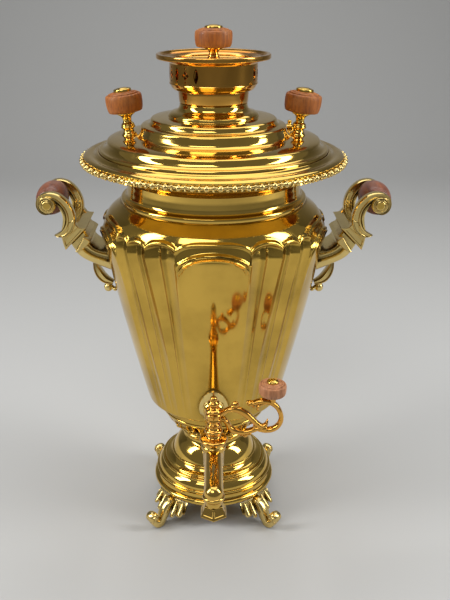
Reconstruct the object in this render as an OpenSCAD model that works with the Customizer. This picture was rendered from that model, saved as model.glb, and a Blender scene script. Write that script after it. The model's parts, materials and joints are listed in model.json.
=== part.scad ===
// Tea samovar: fluted vase body round a fire tube, on a pierced air collar and
// a moulded base with four feet, with a lift-off lid, crown and cap, two scroll
// handles and a plug tap. Millimetres, +Z up, origin on the table under the axis.

/* [Base] */
// Height of the base's lower rim above the table
base_z = 30; // [24:1:36]
// Radius of the base's lower torus moulding
base_r = 68.4; // [64:0.1:76]
// Height of the base from its lower rim to the ring on top
base_h = 68; // [62:1:76]
// Wall of the turned base
base_wall = 2; // [1.5:0.1:3]
// Radius of the ring on top of the base
base_ring_r = 37.6; // [36:0.1:40]
// Radius of the waist under that ring
waist_r = 32.6; // [31:0.1:34]
// Width of the flat flange inside the lower rim
base_flange_w = 12; // [10:1:16]

/* [Feet] */
// Radius from the axis to each foot's contact point
foot_reach = 84.4; // [80:0.2:90]
// Thickness of each foot's leg
foot_t = 11; // [8:1:14]
// Radius of the scroll at the toe
toe_r = 6; // [4:0.5:7]
// Height of the toe scroll's centre above the table
toe_z = 18; // [14:1:20]
// Width of the leaf that hangs from the rim over the knee
leaf_w = 42; // [34:1:48]
// Length of that leaf below the rim
leaf_h = 20; // [16:1:23]
// Radius of each foot's screw
foot_screw_r = 2; // [1.5:0.1:2.5]

/* [Air collar] */
// Height of the pierced air collar
collar_h = 28.5; // [24:0.5:34]
// Outer radius of the basket at its foot
collar_r0 = 36.2; // [34:0.1:37]
// Outer radius of the basket under its top rim
collar_r1 = 55.6; // [52:0.1:60]
// Wall of the air collar
collar_wall = 2.2; // [1.6:0.1:3]
// Number of air openings
collar_holes = 18; // [12:1:20]
// Width of one air opening
collar_hole_w = 7.6; // [4:0.2:9]
// Height of one air opening
collar_hole_h = 17; // [10:0.5:19]

/* [Body] */
// Height of the cove under the straight wall
bowl_h = 15.8; // [12:0.1:20]
// Radius at the foot of the flaring wall
wall_r0 = 72.2; // [68:0.1:78]
// Height of the flaring wall
wall_h = 187.4; // [160:0.1:220]
// Radius at the top of the flaring wall
wall_r1 = 114.3; // [106:0.1:118]
// Outward bulge of the wall halfway up
wall_bulge = 1.7; // [0:0.1:3]
// Rise of the shoulder over the wall
shoulder_h = 32.1; // [26:0.1:38]
// Sheet thickness of the body
sheet = 1.6; // [1.2:0.1:2.4]
// Number of smooth panels round the body
panels = 5; // [4:1:6]
// Angle taken by one smooth panel
panel_angle = 35; // [30:1:40]
// Flutes between two panels
flutes_per_gap = 3; // [2:1:4]
// Depth of a flute at its top
flute_depth = 3; // [1.5:0.1:3.5]
// Depth of a flute at its foot
flute_foot_depth = 0.8; // [0.5:0.1:1.2]
// Share of its sector that a flute takes
flute_share = 0.86; // [0.7:0.01:0.9]
// Width of the rolled lip over each flute
lip_w = 3; // [1.6:0.1:3.2]
// Height of the raised arches on the panels
arch_rib = 1.6; // [0.8:0.1:2]
// Width of the raised arches
arch_w = 2.6; // [2:0.1:4]

/* [Neck and rim] */
// Outer radius of the neck
neck_r = 87; // [80:0.1:92]
// Height of the neck
neck_h = 22; // [16:1:28]
// Radius of the ring moulding at the neck's foot
neck_ring_r = 3.3; // [2.5:0.1:4]
// Radius of the rim flange without its beads
rim_r = 127.5; // [120:0.5:134]
// Height of the rim flange over the neck
rim_h = 28.4; // [24:0.1:34]
// Thickness of the rim's cove sheet
rim_wall = 3; // [2.4:0.1:4]
// Radius of the large beads on the rim
bead_r = 2.8; // [2:0.1:3.2]
// Number of large beads on the rim
beads = 68; // [48:2:76]

/* [Fire tube] */
// Outer radius of the fire tube's furnace
furnace_r = 36; // [32:0.5:38]
// Outer radius of the chimney over the furnace
flue_r = 27.8; // [25:0.1:30]
// Wall of the fire tube
flue_wall = 1.6; // [1.2:0.1:2.5]
// Height of the chimney top over the lid's collar
flue_over_lid = 36; // [32:0.5:40]
// Width of one slot in the grate
grate_slot = 5; // [3:0.5:6]

/* [Lid] */
// Radius of the lid's rolled edge
lid_r = 112.6; // [104:0.1:118]
// Height of the lid from its seat to its collar's top
lid_h = 46.9; // [42:0.1:52]
// Outer radius of the lid's collar round the chimney
lid_collar_r = 32.9; // [32:0.1:36]
// Sheet thickness of the lid
lid_sheet = 1.8; // [1.4:0.1:2.4]
// Radius at which the lid knobs stand
lid_knob_at = 82.5; // [78:0.5:90]
// Outward lean of the lid knobs
lid_knob_lean = 7; // [0:1:10]
// Length of a lid knob's stem
lid_stem_h = 23; // [20:0.5:28]

/* [Crown] */
// Radius of the crown's flange, where a teapot stands
crown_r = 54.6; // [48:0.1:60]
// Outer radius of the crown's pierced band
crown_band_r = 42.1; // [40:0.1:45]
// Height of the crown
crown_h = 45; // [40:0.5:50]
// Wall of the crown
crown_wall = 1.6; // [1.2:0.1:2.4]
// Pierced panels round the crown
crown_panels = 2; // [1:1:2]
// Motifs in one pierced panel
crown_motifs = 7; // [5:2:7]
// Angle from one motif to the next
crown_pitch = 15.5; // [12:0.5:17]
// Direction of the middle of the first pierced panel
crown_turn = 21; // [0:1:180]

/* [Cap] */
// Radius of the cap's plate
cap_r = 37.6; // [34:0.1:38]
// Thickness of the cap's plate
cap_t = 1.8; // [1.4:0.1:2.4]
// Length of the cap's stem under its knob
cap_stem_h = 10; // [8:0.5:14]

/* [Knobs] */
// Radius of the large wooden knobs
knob_r = 18; // [15:0.5:19]
// Height of the large wooden knobs
knob_h = 19.5; // [16:0.5:22]
// Height of the cap's wooden knob
cap_knob_h = 17.5; // [15:0.5:20]
// Radius of the tap's wooden knob
key_knob_r = 12.6; // [10:0.1:14]
// Height of the tap's wooden knob
key_knob_h = 12; // [10:0.5:14]
// Radius of the threaded ends that enter the knobs
knob_rod_r = 2.4; // [1.8:0.1:2.8]

/* [Tap] */
// Height of the tap's axis above the table
tap_z = 163.6; // [158:0.2:168]
// Distance from the samovar's axis to the tap's plug
tap_reach = 160; // [154:1:166]
// Length of the spout beyond the plug
spout_len = 62; // [54:1:68]
// Outer radius of the spout and shank
spout_r = 8.4; // [8:0.1:10]
// Radius of the water passage
spout_bore_r = 4; // [3:0.1:4.5]
// Height of the tapered barrel
barrel_h = 29.6; // [27:0.2:33]
// Outer radius of the barrel at its top
barrel_r = 10.6; // [10:0.1:12]
// Radius of the plug at the barrel's top
plug_r1 = 7.6; // [7:0.1:8]
// Radius of the plug at the barrel's foot
plug_r0 = 6.4; // [6:0.1:6.8]
// Drop from the spout's axis to its mouth
mouth_drop = 20; // [18:0.5:24]
// Corner radius of the six-sided mouth
mouth_r = 12.7; // [11:0.1:14]
// Width of the ribbed rosette behind the tap
rosette_w = 30; // [28:0.5:36]
// Height of the ribbed rosette behind the tap
rosette_h = 46; // [40:0.5:46]

/* [Key] */
// Radius of the key's skirt over the barrel
key_skirt_r = 12.9; // [12:0.1:15]
// Distance from the key's axis to its wooden knob
key_arm = 52.5; // [48:0.5:56]
// Thickness of the key's scroll handle
key_t = 6.5; // [5:0.5:8]
// Width of the scrolls' bars
key_bar = 5; // [4:0.2:5.6]

/* [Handles] */
// Distance from the axis to the grips
grip_x = 163; // [158:0.1:170]
// Height of the grips above the table
grip_z = 361.8; // [358:0.1:366]
// Length of a grip between its arms
grip_len = 43.4; // [38:0.2:50]
// Radius of a grip at its middle
grip_r = 16.3; // [13:0.1:17]
// Thickness of a handle's arms
arm_t = 10; // [7:0.5:12]
// Radius of the scrolls at the arms' ends
scroll_r = 10; // [8:0.1:11]
// Radius of the rod through a grip
rod_r = 2.6; // [2:0.1:3.4]
// Width of a handle's bracket on the body
bracket_w = 40; // [32:1:46]

/* [Hidden] */

$fn = 96;
// Clearances: soldered and screwed seats, moving seats, sliding collars, the plug's running fit
seat = 0.05;
rest_gap = 0.25;
slide_gap = 0.5;
plug_gap = 0.05;

brass = "goldenrod";
warm_brass = "darkgoldenrod";
wood = "peru";
grip_wood = "sienna";
iron = "dimgray";

// Heights of the seams, from the table up
collar_z = base_z + base_h;
body_z = collar_z + collar_h;
wall_z0 = body_z + bowl_h;
wall_z1 = wall_z0 + wall_h;
neck_z = wall_z1 + shoulder_h;
rim_z = neck_z + neck_h;
rim_top = rim_z + rim_h;
lid_z = rim_top - 2.7;
lid_top = lid_z + lid_h;
flue_top = lid_top + flue_over_lid;
crown_z = lid_top + rest_gap;
crown_top = crown_z + crown_h;
shoulder_r = neck_r + 4.7;

// ---- Curves ----

// Quadratic curve from a to c, drawn towards b, in n steps
function curve(a, b, c, n = 6) =
    [for (i = [0 : n]) let (t = i / n) (1 - t) * (1 - t) * a + 2 * t * (1 - t) * b + t * t * c];

// Arc about [x, y] from angle a0 to a1
function arc(x, y, r, a0, a1, n = 6) =
    [for (i = [0 : n]) let (a = a0 + (a1 - a0) * i / n) [x + r * cos(a), y + r * sin(a)]];

// A list of points moved by d, and a list turned end for end
function moved(points, d) = [for (p = points) p + d];
function turned_round(points) = [for (i = [len(points) - 1 : -1 : 0]) points[i]];

// Direction across a path at point i, and the outline of a bar of width w along it
function across(path, i) =
    let (a = path[max(i - 1, 0)], b = path[min(i + 1, len(path) - 1)], d = (b - a) / norm(b - a)) [-d.y, d.x];
function bar(path, w0, w1) =
    let (n = len(path) - 1)
    concat([for (i = [0 : n]) path[i] + across(path, i) * (w0 + (w1 - w0) * i / n) / 2],
           [for (i = [n : -1 : 0]) path[i] - across(path, i) * (w0 + (w1 - w0) * i / n) / 2]);

// A turned solid
module lathe(points) rotate_extrude() polygon(points);

// A plate cut from an outline in x and z, of thickness t across y
module plate(t) translate([0, t / 2, 0]) rotate([90, 0, 0]) linear_extrude(t) children();

// A pointed oval of width w and height h
module almond(w, h) {
    r = (w * w + h * h) / (4 * w);
    intersection() {
        translate([r - w / 2, 0]) circle(r);
        translate([w / 2 - r, 0]) circle(r);
    }
}

// ---- Base, feet and air collar ----

base_lip_r = base_r - 3.2;
base_in_r = base_lip_r - base_flange_w;

// The base's mouldings are drawn on a breadth of 32.6 and a height of 68, and stretched to the
// named sizes: r counts outward from the waist and z upward from the lower rim
function base_at(r, z) = [waist_r + r * (base_lip_r - waist_r) / 32.6, base_z + z * base_h / 68];

// Outer line of the base, from the ring on top down to the lower rim
function base_line() =
    concat([[base_ring_r - 0.6, collar_z], [base_ring_r, collar_z - 0.8], [base_ring_r, collar_z - 1.8]],
           curve([base_ring_r - 0.9, collar_z - 2.4], [waist_r + 0.2, collar_z - 4], [waist_r, collar_z - 9], 5),
           curve(base_at(0.8, 57.4), base_at(10.6, 52), base_at(13.6, 37.8), 7),
           arc(base_at(14, 0).x, base_at(0, 36.4).y, 1.3, 90, -60, 4),
           curve(base_at(15, 35), base_at(17, 32), base_at(20.2, 31.4), 4),
           arc(base_at(21.2, 0).x, base_at(0, 30.2).y, 1.3, 100, -30, 4), [base_at(22.9, 28.6)],
           arc(base_at(25, 0).x, base_at(0, 27.6).y, 1.5, 110, -40, 4),
           curve(base_at(26.4, 26.2), base_at(30.4, 23.2), base_at(30.9, 17.4), 5),
           arc(base_at(31.7, 0).x, base_at(0, 16).y, 1.4, 90, -70, 4),
           curve(base_at(31.1, 14.4), base_at(30.3, 10.8), [base_lip_r, base_z + 7.8], 4),
           arc(base_lip_r, base_z + 4.2, 3.2, 80, -90, 8),
           [[base_lip_r, base_z]]);

// Inner line of the base, from its lower flange up to its top edge
function base_inside() =
    concat([[base_in_r, base_z], [base_in_r, base_z + base_wall], [base_lip_r - base_wall, base_z + base_wall],
            [base_lip_r - base_wall, base_z + 7.4]],
           [for (p = [[30.2, 11.4], [30.4, 17.4], [25, 26], [20.4, 29.4], [14, 34.2], [12.4, 41], [7, 52.6], [0.6, 56]])
               base_at(p.x, p.y) - [base_wall, 0]],
           [[waist_r - base_wall, collar_z - 9], [waist_r - base_wall, collar_z - 3],
            [base_ring_r - 4.4, collar_z - 1.4], [base_ring_r - 4.4, collar_z]]);

foot_screw_at = base_in_r + base_flange_w / 2 - 1;
pad_t = 4;

module base_plinth()
    color(brass)
    difference() {
        lathe(concat(base_line(), base_inside()));
        for (a = [45 : 90 : 315])
            rotate(a) translate([foot_screw_at, 0, base_z - 1]) cylinder(r = foot_screw_r + seat, h = base_wall + 2);
    }

toe_x = foot_reach + 11.4;

// Side view of a leg: pad under the flange, sweep down to the heel, scroll turned up at the toe
module leg_side()
    difference() {
        union() {
            polygon(concat([[base_in_r + 1, base_z], [base_lip_r + 1, base_z]],
                           curve([base_lip_r + 9, base_z - 1.4], [foot_reach - 3, base_z - 4], [foot_reach - 2, toe_z - 1], 6),
                           curve([foot_reach + 1, toe_z - 6], [toe_x - 5, toe_z - 8], [toe_x, toe_z - toe_r + 2], 4),
                           [[toe_x + 4, toe_z - toe_r + 2.6]],
                           curve([toe_x + 3, toe_z - toe_r - 1], [foot_reach + 9, 2], [foot_reach + 5, 0], 5),
                           [[foot_reach - 4, 0]],
                           curve([foot_reach - 6, 3], [foot_reach - 9, base_z - 12], [base_lip_r - 2, base_z - pad_t - 3], 7),
                           [[foot_screw_at + 4.4, base_z - pad_t], [base_in_r + 1, base_z - pad_t]]));
            translate([toe_x, toe_z]) circle(toe_r);
        }
        translate([foot_reach, 0]) mirror([0, 1]) translate([-30, 0]) square([60, 20]);
    }

// Face of the acanthus leaf: three lobes a side and a long middle one, hanging from y = 0
module leaf_outline()
    intersection() {
        union() {
            translate([-leaf_w / 2 + 2, -0.4 * leaf_h]) square([leaf_w - 4, 0.4 * leaf_h]);
            for (s = [-1, 1], i = [0 : 2])
                translate([s * (leaf_w / 2 - leaf_w / 14 - i * leaf_w / 6.6), 0])
                    scale_lobe(leaf_w / 6, leaf_h * (0.8 + 0.06 * i));
            scale_lobe(leaf_w / 4, leaf_h);
        }
        translate([-leaf_w / 2, -leaf_h]) square([leaf_w, leaf_h]);
    }

// A leaf lobe of width w that ends in a round tip h below its root
module scale_lobe(w, h) {
    translate([-w / 2, w / 2 - h]) square([w, h - w / 2]);
    translate([0, w / 2 - h]) circle(w / 2);
}

module foot() {
    difference() {
        union() {
            plate(foot_t) leg_side();
            translate([toe_x, 0, toe_z]) rotate([90, 0, 0]) cylinder(r = toe_r - 2, h = foot_t + 2, center = true);
            translate([toe_x, 0, toe_z]) rotate([90, 0, 0]) cylinder(r = 0.4 * toe_r, h = foot_t + 4, center = true);
            // leaf bent round the rim
            intersection() {
                lathe([[base_lip_r - 5, base_z], [base_lip_r + 1, base_z],
                       [base_lip_r + 4.6, base_z - leaf_h / 2], [base_lip_r + 7.6, base_z - leaf_h],
                       [base_lip_r + 4.2, base_z - leaf_h], [base_lip_r + 0.6, base_z - leaf_h / 2]]);
                translate([0, 0, base_z]) rotate([90, 0, 90]) linear_extrude(2 * base_lip_r) leaf_outline();
            }
            // raised veins of the leaf
            for (s = [-1, 1])
                translate([base_lip_r + 3.4, 0, base_z - 1.6]) rotate([0, 166, 0]) rotate([s * 21, 0, 0])
                    cylinder(r1 = 2.6, r2 = 1.4, h = 0.7 * leaf_h);
        }
        translate([0, 0, base_z]) cylinder(r = 2 * foot_reach, h = 20);
        translate([foot_screw_at, 0, 0]) cylinder(r = foot_screw_r + seat, h = base_z + 1);
    }
}

module foot_at(a) color(brass) rotate(a) foot();
module foot_front_right() foot_at(-45);
module foot_front_left() foot_at(-135);
module foot_rear_left() foot_at(135);
module foot_rear_right() foot_at(45);

screw_head_h = 2.2;

module foot_screws()
    color(iron)
    for (a = [45 : 90 : 315]) rotate(a) translate([foot_screw_at, 0, 0]) {
        translate([0, 0, base_z - pad_t - screw_head_h]) cylinder(r = foot_screw_r + 1.6, h = screw_head_h);
        translate([0, 0, base_z - pad_t - screw_head_h]) cylinder(r = foot_screw_r, h = pad_t + base_wall + 4.6);
        translate([0, 0, base_z + base_wall]) cylinder(r = foot_screw_r + 1.4, h = screw_head_h, $fn = 6);
    }

collar_top_r = collar_r1 + 1.4;

// Curve of the basket, at a distance d inside its outer face
function basket(d) =
    curve([collar_r0 - d, collar_z + 2.6], [collar_r1 - 7 - d, collar_z + 8], [collar_r1 - d, body_z - 3.2], 7);

module air_collar()
    color(brass)
    difference() {
        lathe(concat([[collar_r0 - 1 - collar_wall, collar_z], [collar_r0 + 0.6, collar_z]],
                     arc(collar_r0 + 0.6, collar_z + 1.1, 1.1, -60, 80, 4), basket(0),
                     arc(collar_top_r - 1.4, body_z - 1.5, 1.5, -70, 90, 5),
                     [[furnace_r + 1.4, body_z], [furnace_r + 1.4, body_z - 1.6], [collar_r1 - 3 - collar_wall, body_z - 2.4]],
                     turned_round(basket(collar_wall)), [[collar_r0 - 1 - collar_wall, collar_z + 2]]));
        for (i = [0 : collar_holes - 1])
            rotate(360 * (i - 0.25) / collar_holes - 90)
                translate([(collar_r0 + collar_r1) / 2 + 1, 0, collar_z + collar_h / 2])
                rotate([0, 55 - 90, 0]) rotate([90, 0, 90])
                linear_extrude(24, center = true) almond(collar_hole_w, collar_hole_h);
    }

// ---- Body ----

// Radius of the flaring wall at a share t of its height
function wall_r(t) = wall_r0 + (wall_r1 - wall_r0) * t + wall_bulge * 4 * t * (1 - t);
wall_steps = 6;
function wall_line(d) = [for (i = [0 : wall_steps]) [wall_r(i / wall_steps) + d, wall_z0 + wall_h * i / wall_steps]];

// Cove under the wall: a lip at the foot, a hollow, and the wall's rounded corner
function cove_line(d) =
    concat([[collar_top_r - 0.4 + d, body_z - d], [collar_top_r - 0.4 + d, body_z + 1.4 - d]],
           curve([collar_top_r + 0.2 + d, body_z + 4 - d], [collar_top_r + 1.4 + d, body_z + 0.8 * bowl_h - d],
                 [wall_r0 - 3.6 + d, wall_z0 - 1.8 - d], 5),
           [[wall_r0 - 1.2 + d, wall_z0 - 1 - d * 0.4]]);

// Line of the cove, wall and shoulder, at a distance d outside the body's own face
function body_line(d) =
    concat(cove_line(d), wall_line(d),
           [for (a = [8 : 8 : 80]) [shoulder_r + (wall_r1 - shoulder_r + d) * cos(a),
                                    wall_z1 + (shoulder_h + d) * sin(a)]],
           [[shoulder_r, neck_z + d]]);

flutes = panels * flutes_per_gap;
flute_angle = (360 / panels - panel_angle) / flutes_per_gap;
flute_half = flute_share * flute_angle / 2;
// Direction of flute k, counted from the front panel's edge
function flute_dir(k) =
    -90 + 360 / panels * floor(k / flutes_per_gap) + panel_angle / 2 + flute_angle * (k % flutes_per_gap + 0.5);

// A flute is cut by a waisted cone whose axis leans with the wall, outside it
flute_t0 = 0.02;
flute_t1 = 1.03;
function wall_point(t) = [wall_r(t), wall_z0 + wall_h * t];
function flute_rise(r, depth) = depth - r * (1 - cos(flute_half));
function flute_radius(r, depth) =
    let (h = flute_rise(r, depth), w = r * sin(flute_half)) w * w / (2 * h) + h / 2;
flute_a = let (p = wall_point(flute_t0)) [1.26 * p.x, p.y];
flute_b = let (p = wall_point(flute_t1)) p + [flute_radius(p.x, flute_depth) - flute_depth, 0];
flute_axis = (flute_b - flute_a) / norm(flute_b - flute_a);
function flute_cut(t) = flute_foot_depth + (flute_depth - flute_foot_depth) * t;
function flute_step(t, d) =
    let (q = wall_point(t) - flute_a)
    [abs(q.x * flute_axis.y - q.y * flute_axis.x) + flute_cut((t - flute_t0) / (flute_t1 - flute_t0)) + d,
     q.x * flute_axis.x + q.y * flute_axis.y];

module flute_cutter(d) {
    steps = [for (i = [0 : 4]) flute_step(flute_t0 + (flute_t1 - flute_t0) * i / 4, d)];
    top = steps[4];
    translate([flute_a.x, 0, flute_a.y])
        rotate([0, atan(flute_axis.x / flute_axis.y), 0]) {
            lathe(concat([[0, steps[0].y]], steps, [[0, top.y]]));
            translate([0, 0, top.y]) sphere(top.x);
        }
}

module all_flutes(d) for (k = [0 : flutes - 1]) rotate(flute_dir(k)) flute_cutter(d);

// Rolled lip over the round top of each flute
flute_top_w = wall_r(flute_t1) * sin(flute_half);

lip_lean = 19;
lip_arc = 60;

module flute_lips()
    for (k = [0 : flutes - 1])
        rotate(flute_dir(k))
            translate([wall_r(flute_t1) - 0.4, 0, wall_point(flute_t1).y])
            rotate([0, -lip_lean, 0]) rotate([0, 90, 0]) rotate([0, 0, 180 - lip_arc])
            rotate_extrude(angle = 2 * lip_arc) translate([flute_top_w + lip_w / 5, 0]) circle(lip_w / 2, $fn = 24);

// Raised double arch at the head of each smooth panel
arch_half = wall_r1 * sin(panel_angle / 2) + 2;
arch_foot = wall_z1 - 14;
arch_top = wall_z1 + 22;
arch_step = 9;
function arch_outline(in) =
    let (w = arch_half - in, top = arch_top - in)
    concat([[-w, arch_foot]], curve([-w, arch_foot + 6], [-w, top - 4], [-0.55 * w, top - 2.4], 6), [[0, top]],
           curve([0.55 * w, top - 2.4], [w, top - 4], [w, arch_foot + 6], 6), [[w, arch_foot]]);

module arch_band(in)
    difference() {
        polygon(arch_outline(in));
        polygon(concat([[-arch_half + in + arch_w, arch_foot - 1]],
                       moved(arch_outline(in + arch_w), [0, 0]),
                       [[arch_half - in - arch_w, arch_foot - 1]]));
    }

module panel_arches()
    intersection() {
        difference() {
            lathe(concat(body_line(arch_rib), [[0, neck_z + arch_rib], [0, body_z - arch_rib]]));
            lathe(concat(body_line(-0.4), [[0, neck_z + 1], [0, body_z - 1]]));
        }
        for (i = [0 : panels - 1])
            rotate(360 * i / panels) translate([0, -wall_r1, 0]) plate(80) {
                arch_band(0);
                arch_band(arch_step);
            }
    }

stud_r = 3;
stud_z = wall_z0 + 156;
shank_r = 7;

module body_shell()
    color(brass)
    difference() {
        union() {
            difference() {
                lathe(concat([[furnace_r + seat, body_z]], body_line(0), [[neck_r - sheet, neck_z]],
                             [[0, neck_z], [0, body_z]]));
                all_flutes(0);
            }
            flute_lips();
            panel_arches();
        }
        difference() {
            lathe(concat([[0, body_z + sheet], [furnace_r + 2, body_z + sheet]],
                         curve([collar_top_r - 1.4 - sheet, body_z + sheet],
                               [collar_top_r + 1.4 - sheet, body_z + 0.8 * bowl_h + sheet],
                               [wall_r0 - 3.6 - sheet, wall_z0 - 1.8 + sheet], 5),
                         wall_line(-sheet),
                         [for (a = [8 : 8 : 80]) [shoulder_r + (wall_r1 - shoulder_r - sheet) * cos(a),
                                                  wall_z1 + (shoulder_h - sheet) * sin(a)]],
                         [[shoulder_r, neck_z - sheet], [0, neck_z - sheet]]));
            all_flutes(sheet);
        }
        translate([0, 0, neck_z - 5]) cylinder(r = neck_r - sheet, h = 10);
        translate([0, 0, body_z - 1]) cylinder(r = furnace_r + seat, h = 10);
        translate([0, 0, stud_z]) rotate([0, 90, 0]) cylinder(r = stud_r + seat, h = 2 * wall_r1, center = true);
        translate([0, -wall_r1, tap_z]) rotate([-90, 0, 0]) cylinder(r = shank_r + seat, h = wall_r1);
    }

// ---- Fire tube and grate ----

grate_z = body_z + 5;
grate_t = 4;
furnace_top = wall_z0 + 0.45 * wall_h;

module fire_tube()
    color(warm_brass)
    lathe([[furnace_r - flue_wall, body_z - 2.4], [furnace_r, body_z - 2.4], [furnace_r, furnace_top],
           [flue_r, furnace_top + 45], [flue_r, flue_top], [flue_r - flue_wall, flue_top],
           [flue_r - flue_wall, furnace_top + 45], [furnace_r - flue_wall, furnace_top],
           [furnace_r - flue_wall, grate_z], [furnace_r - flue_wall - 3, grate_z],
           [furnace_r - flue_wall - 3, grate_z - 2], [furnace_r - flue_wall, grate_z - 2]]);

grate_r = furnace_r - flue_wall - 0.4;

module grate()
    color(iron)
    difference() {
        translate([0, 0, grate_z]) cylinder(r = grate_r, h = grate_t);
        for (i = [-2 : 2])
            translate([i * 2 * grate_slot, 0, grate_z + grate_t / 2])
                cube([grate_slot, 2 * sqrt((grate_r - 4) ^ 2 - (2 * i * grate_slot) ^ 2) - grate_slot, 2 * grate_t],
                     center = true);
    }

// ---- Neck, rim flange and beads ----

module neck_ring()
    color(brass)
    lathe(concat([[neck_r - sheet, neck_z]], [[neck_r + 4, neck_z]],
                 arc(neck_r + 4.4, neck_z + neck_ring_r, neck_ring_r, -90, 90, 8),
                 [[neck_r + 1, neck_z + 2 * neck_ring_r + 0.6], [neck_r, neck_z + 2 * neck_ring_r + 2],
                  [neck_r, rim_z], [neck_r - sheet, rim_z]]));

lid_seat_r = lid_r + slide_gap;
rim_lip_r = rim_r + 1.5;
bead_z = rim_top - 8.4;

module rim_flange()
    color(brass)
    lathe(concat(curve([rim_r - 1.5, rim_top - 12.6], [neck_r + 9, rim_top - 13], [neck_r + 0.8, rim_z], 8),
                 [[neck_r - sheet, rim_z], [neck_r - sheet, rim_z + 2]],
                 [[neck_r + 5, rim_top - 9.4], [lid_seat_r - 7, rim_top - 5.4], [lid_seat_r - 7, rim_top - 2.7],
                  [lid_seat_r, rim_top - 2.7], [lid_seat_r, rim_top], [lid_seat_r + 1, rim_top],
                  [lid_seat_r + 4.6, rim_top - 1.9], [lid_seat_r + 5.4, rim_top - 2.9]],
                 curve([lid_seat_r + 7, rim_top - 3], [rim_r - 3, rim_top - 1.6], [rim_r, rim_top - 4], 4),
                 [[rim_lip_r - 1, rim_top - 5.2]],
                 arc(rim_lip_r + 0.4, bead_z, bead_r + seat, 130, 230, 5),
                 [[rim_lip_r - 1, rim_top - 11.6], [rim_r - 0.4, rim_top - 12.2]]));

// A wire strung with beads, let into the groove round the rim
module bead_border()
    color(brass) {
        rotate_extrude() translate([rim_lip_r + 0.4, bead_z]) circle(bead_r / 2, $fn = 24);
        for (i = [0 : beads - 1])
            rotate(360 * (i + 0.5) / beads) translate([rim_lip_r + 0.4, 0, bead_z]) sphere(bead_r, $fn = 24);
    }

// ---- Tap ----

// Radius of the body at height z of the wall
function body_r(z) = wall_r((z - wall_z0) / wall_h);
tap_face = body_r(tap_z);
spout_end = tap_reach + spout_len;
barrel_z = tap_z - barrel_h / 2 - 2.5;
barrel_top = barrel_z + barrel_h;
mouth_z = tap_z - mouth_drop;

// The outside of the bowl and wall, to fit a seat against
module body_block(gap)
    lathe(concat(body_line(gap), [[0, neck_z + gap], [0, body_z - gap]]));

rosette_ribs = 16;
rosette_front = tap_face + 8.6;
// Lean of the wall behind the rosette, and the radius of its domed face
wall_lean = atan((body_r(tap_z + 5) - body_r(tap_z - 5)) / 10);
rosette_dome = rosette_h * 0.76;

module tap_rosette()
    color(brass)
    difference() {
        union() {
            translate([0, -tap_face, tap_z]) rotate([90 + wall_lean, 0, 0])
                intersection() {
                    translate([0, 0, -7]) linear_extrude(20)
                        polygon([for (i = [0 : 6 * rosette_ribs - 1])
                            let (a = 60 * i / rosette_ribs, k = 0.9 + 0.1 * abs(sin(30 * i)))
                                [rosette_w / 2 * k * cos(a), rosette_h / 2 * k * sin(a)]]);
                    translate([0, 0, 8 - rosette_dome]) sphere(rosette_dome);
                }
            translate([0, 0, tap_z]) rotate([90, 0, 0]) cylinder(r = spout_r + 3, h = rosette_front);
        }
        body_block(seat);
        translate([0, 0, tap_z]) rotate([90, 0, 0]) cylinder(r = shank_r + seat, h = 2 * tap_face);
    }

module tap_body()
    color(warm_brass)
    difference() {
        union() {
            translate([0, 0, tap_z]) rotate([90, 0, 0]) {
                translate([0, 0, tap_face - 16]) cylinder(r = shank_r, h = 40);
                translate([0, 0, rosette_front + seat]) cylinder(r = spout_r, h = spout_end - rosette_front - seat);
                translate([0, 0, rosette_front + seat]) cylinder(r1 = spout_r + 2, r2 = spout_r, h = 4);
                translate([0, 0, spout_end]) sphere(spout_r);
                // leaf in relief along the top of the spout
                translate([0, 3.4, spout_end - 33])
                    lathe(concat([[0, 0]], curve([1.4, 3], [6.6, 17], [6.2, 23], 6),
                                 curve([6, 25], [4.6, 29], [0, 30], 4)));
            }
            translate([0, -tap_reach, 0])
                lathe([[0, barrel_z], [plug_r0 + 2.4, barrel_z], [plug_r0 + 3, barrel_z + 3],
                       [barrel_r - 1, barrel_top - 8], [barrel_r + 0.6, barrel_top - 7], [barrel_r + 0.6, barrel_top],
                       [0, barrel_top]]);
            translate([0, -spout_end, 0]) {
                lathe([[0, mouth_z + 7], [spout_bore_r + 3, mouth_z + 7], [spout_bore_r + 3, tap_z - 5.4],
                       [9, tap_z - 4.4], [9.6, tap_z - 2.6], [9, tap_z - 0.8], [0, tap_z - 0.8]]);
                translate([0, 0, mouth_z]) rotate(30) cylinder(r1 = mouth_r, r2 = 8.2, h = 9, $fn = 6);
            }
        }
        translate([0, 0, tap_z]) rotate([90, 0, 0]) translate([0, 0, tap_face - 20])
            cylinder(r = spout_bore_r, h = spout_end - tap_face + 20);
        translate([0, -spout_end, mouth_z - 1]) cylinder(r = spout_bore_r, h = mouth_drop + 1);
        translate([0, -tap_reach, barrel_z])
            cylinder(r1 = plug_r0 + plug_gap, r2 = plug_r1 + plug_gap, h = barrel_h);
    }

gasket_t = 2;
nut_t = 6;

// Washer and nut that hold the tap's shank from inside the body
module tap_gasket()
    color("saddlebrown")
    translate([0, 0, tap_z]) rotate([90, 0, 0])
        difference() {
            translate([0, 0, tap_face - sheet - 5 - gasket_t]) cylinder(r = shank_r + 5, h = gasket_t);
            cylinder(r = shank_r + seat, h = tap_face);
        }

module tap_lock_nut()
    color(brass)
    translate([0, 0, tap_z]) rotate([90, 0, 0])
        difference() {
            translate([0, 0, tap_face - sheet - 5 - gasket_t - nut_t]) cylinder(r = shank_r + 4, h = nut_t, $fn = 6);
            cylinder(r = shank_r + seat, h = tap_face);
        }

// ---- Key ----

key_foot = barrel_z - 8;
skirt_z = barrel_top + rest_gap;
column_z = skirt_z + 18;
finial_z = column_z + 16.6;

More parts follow.
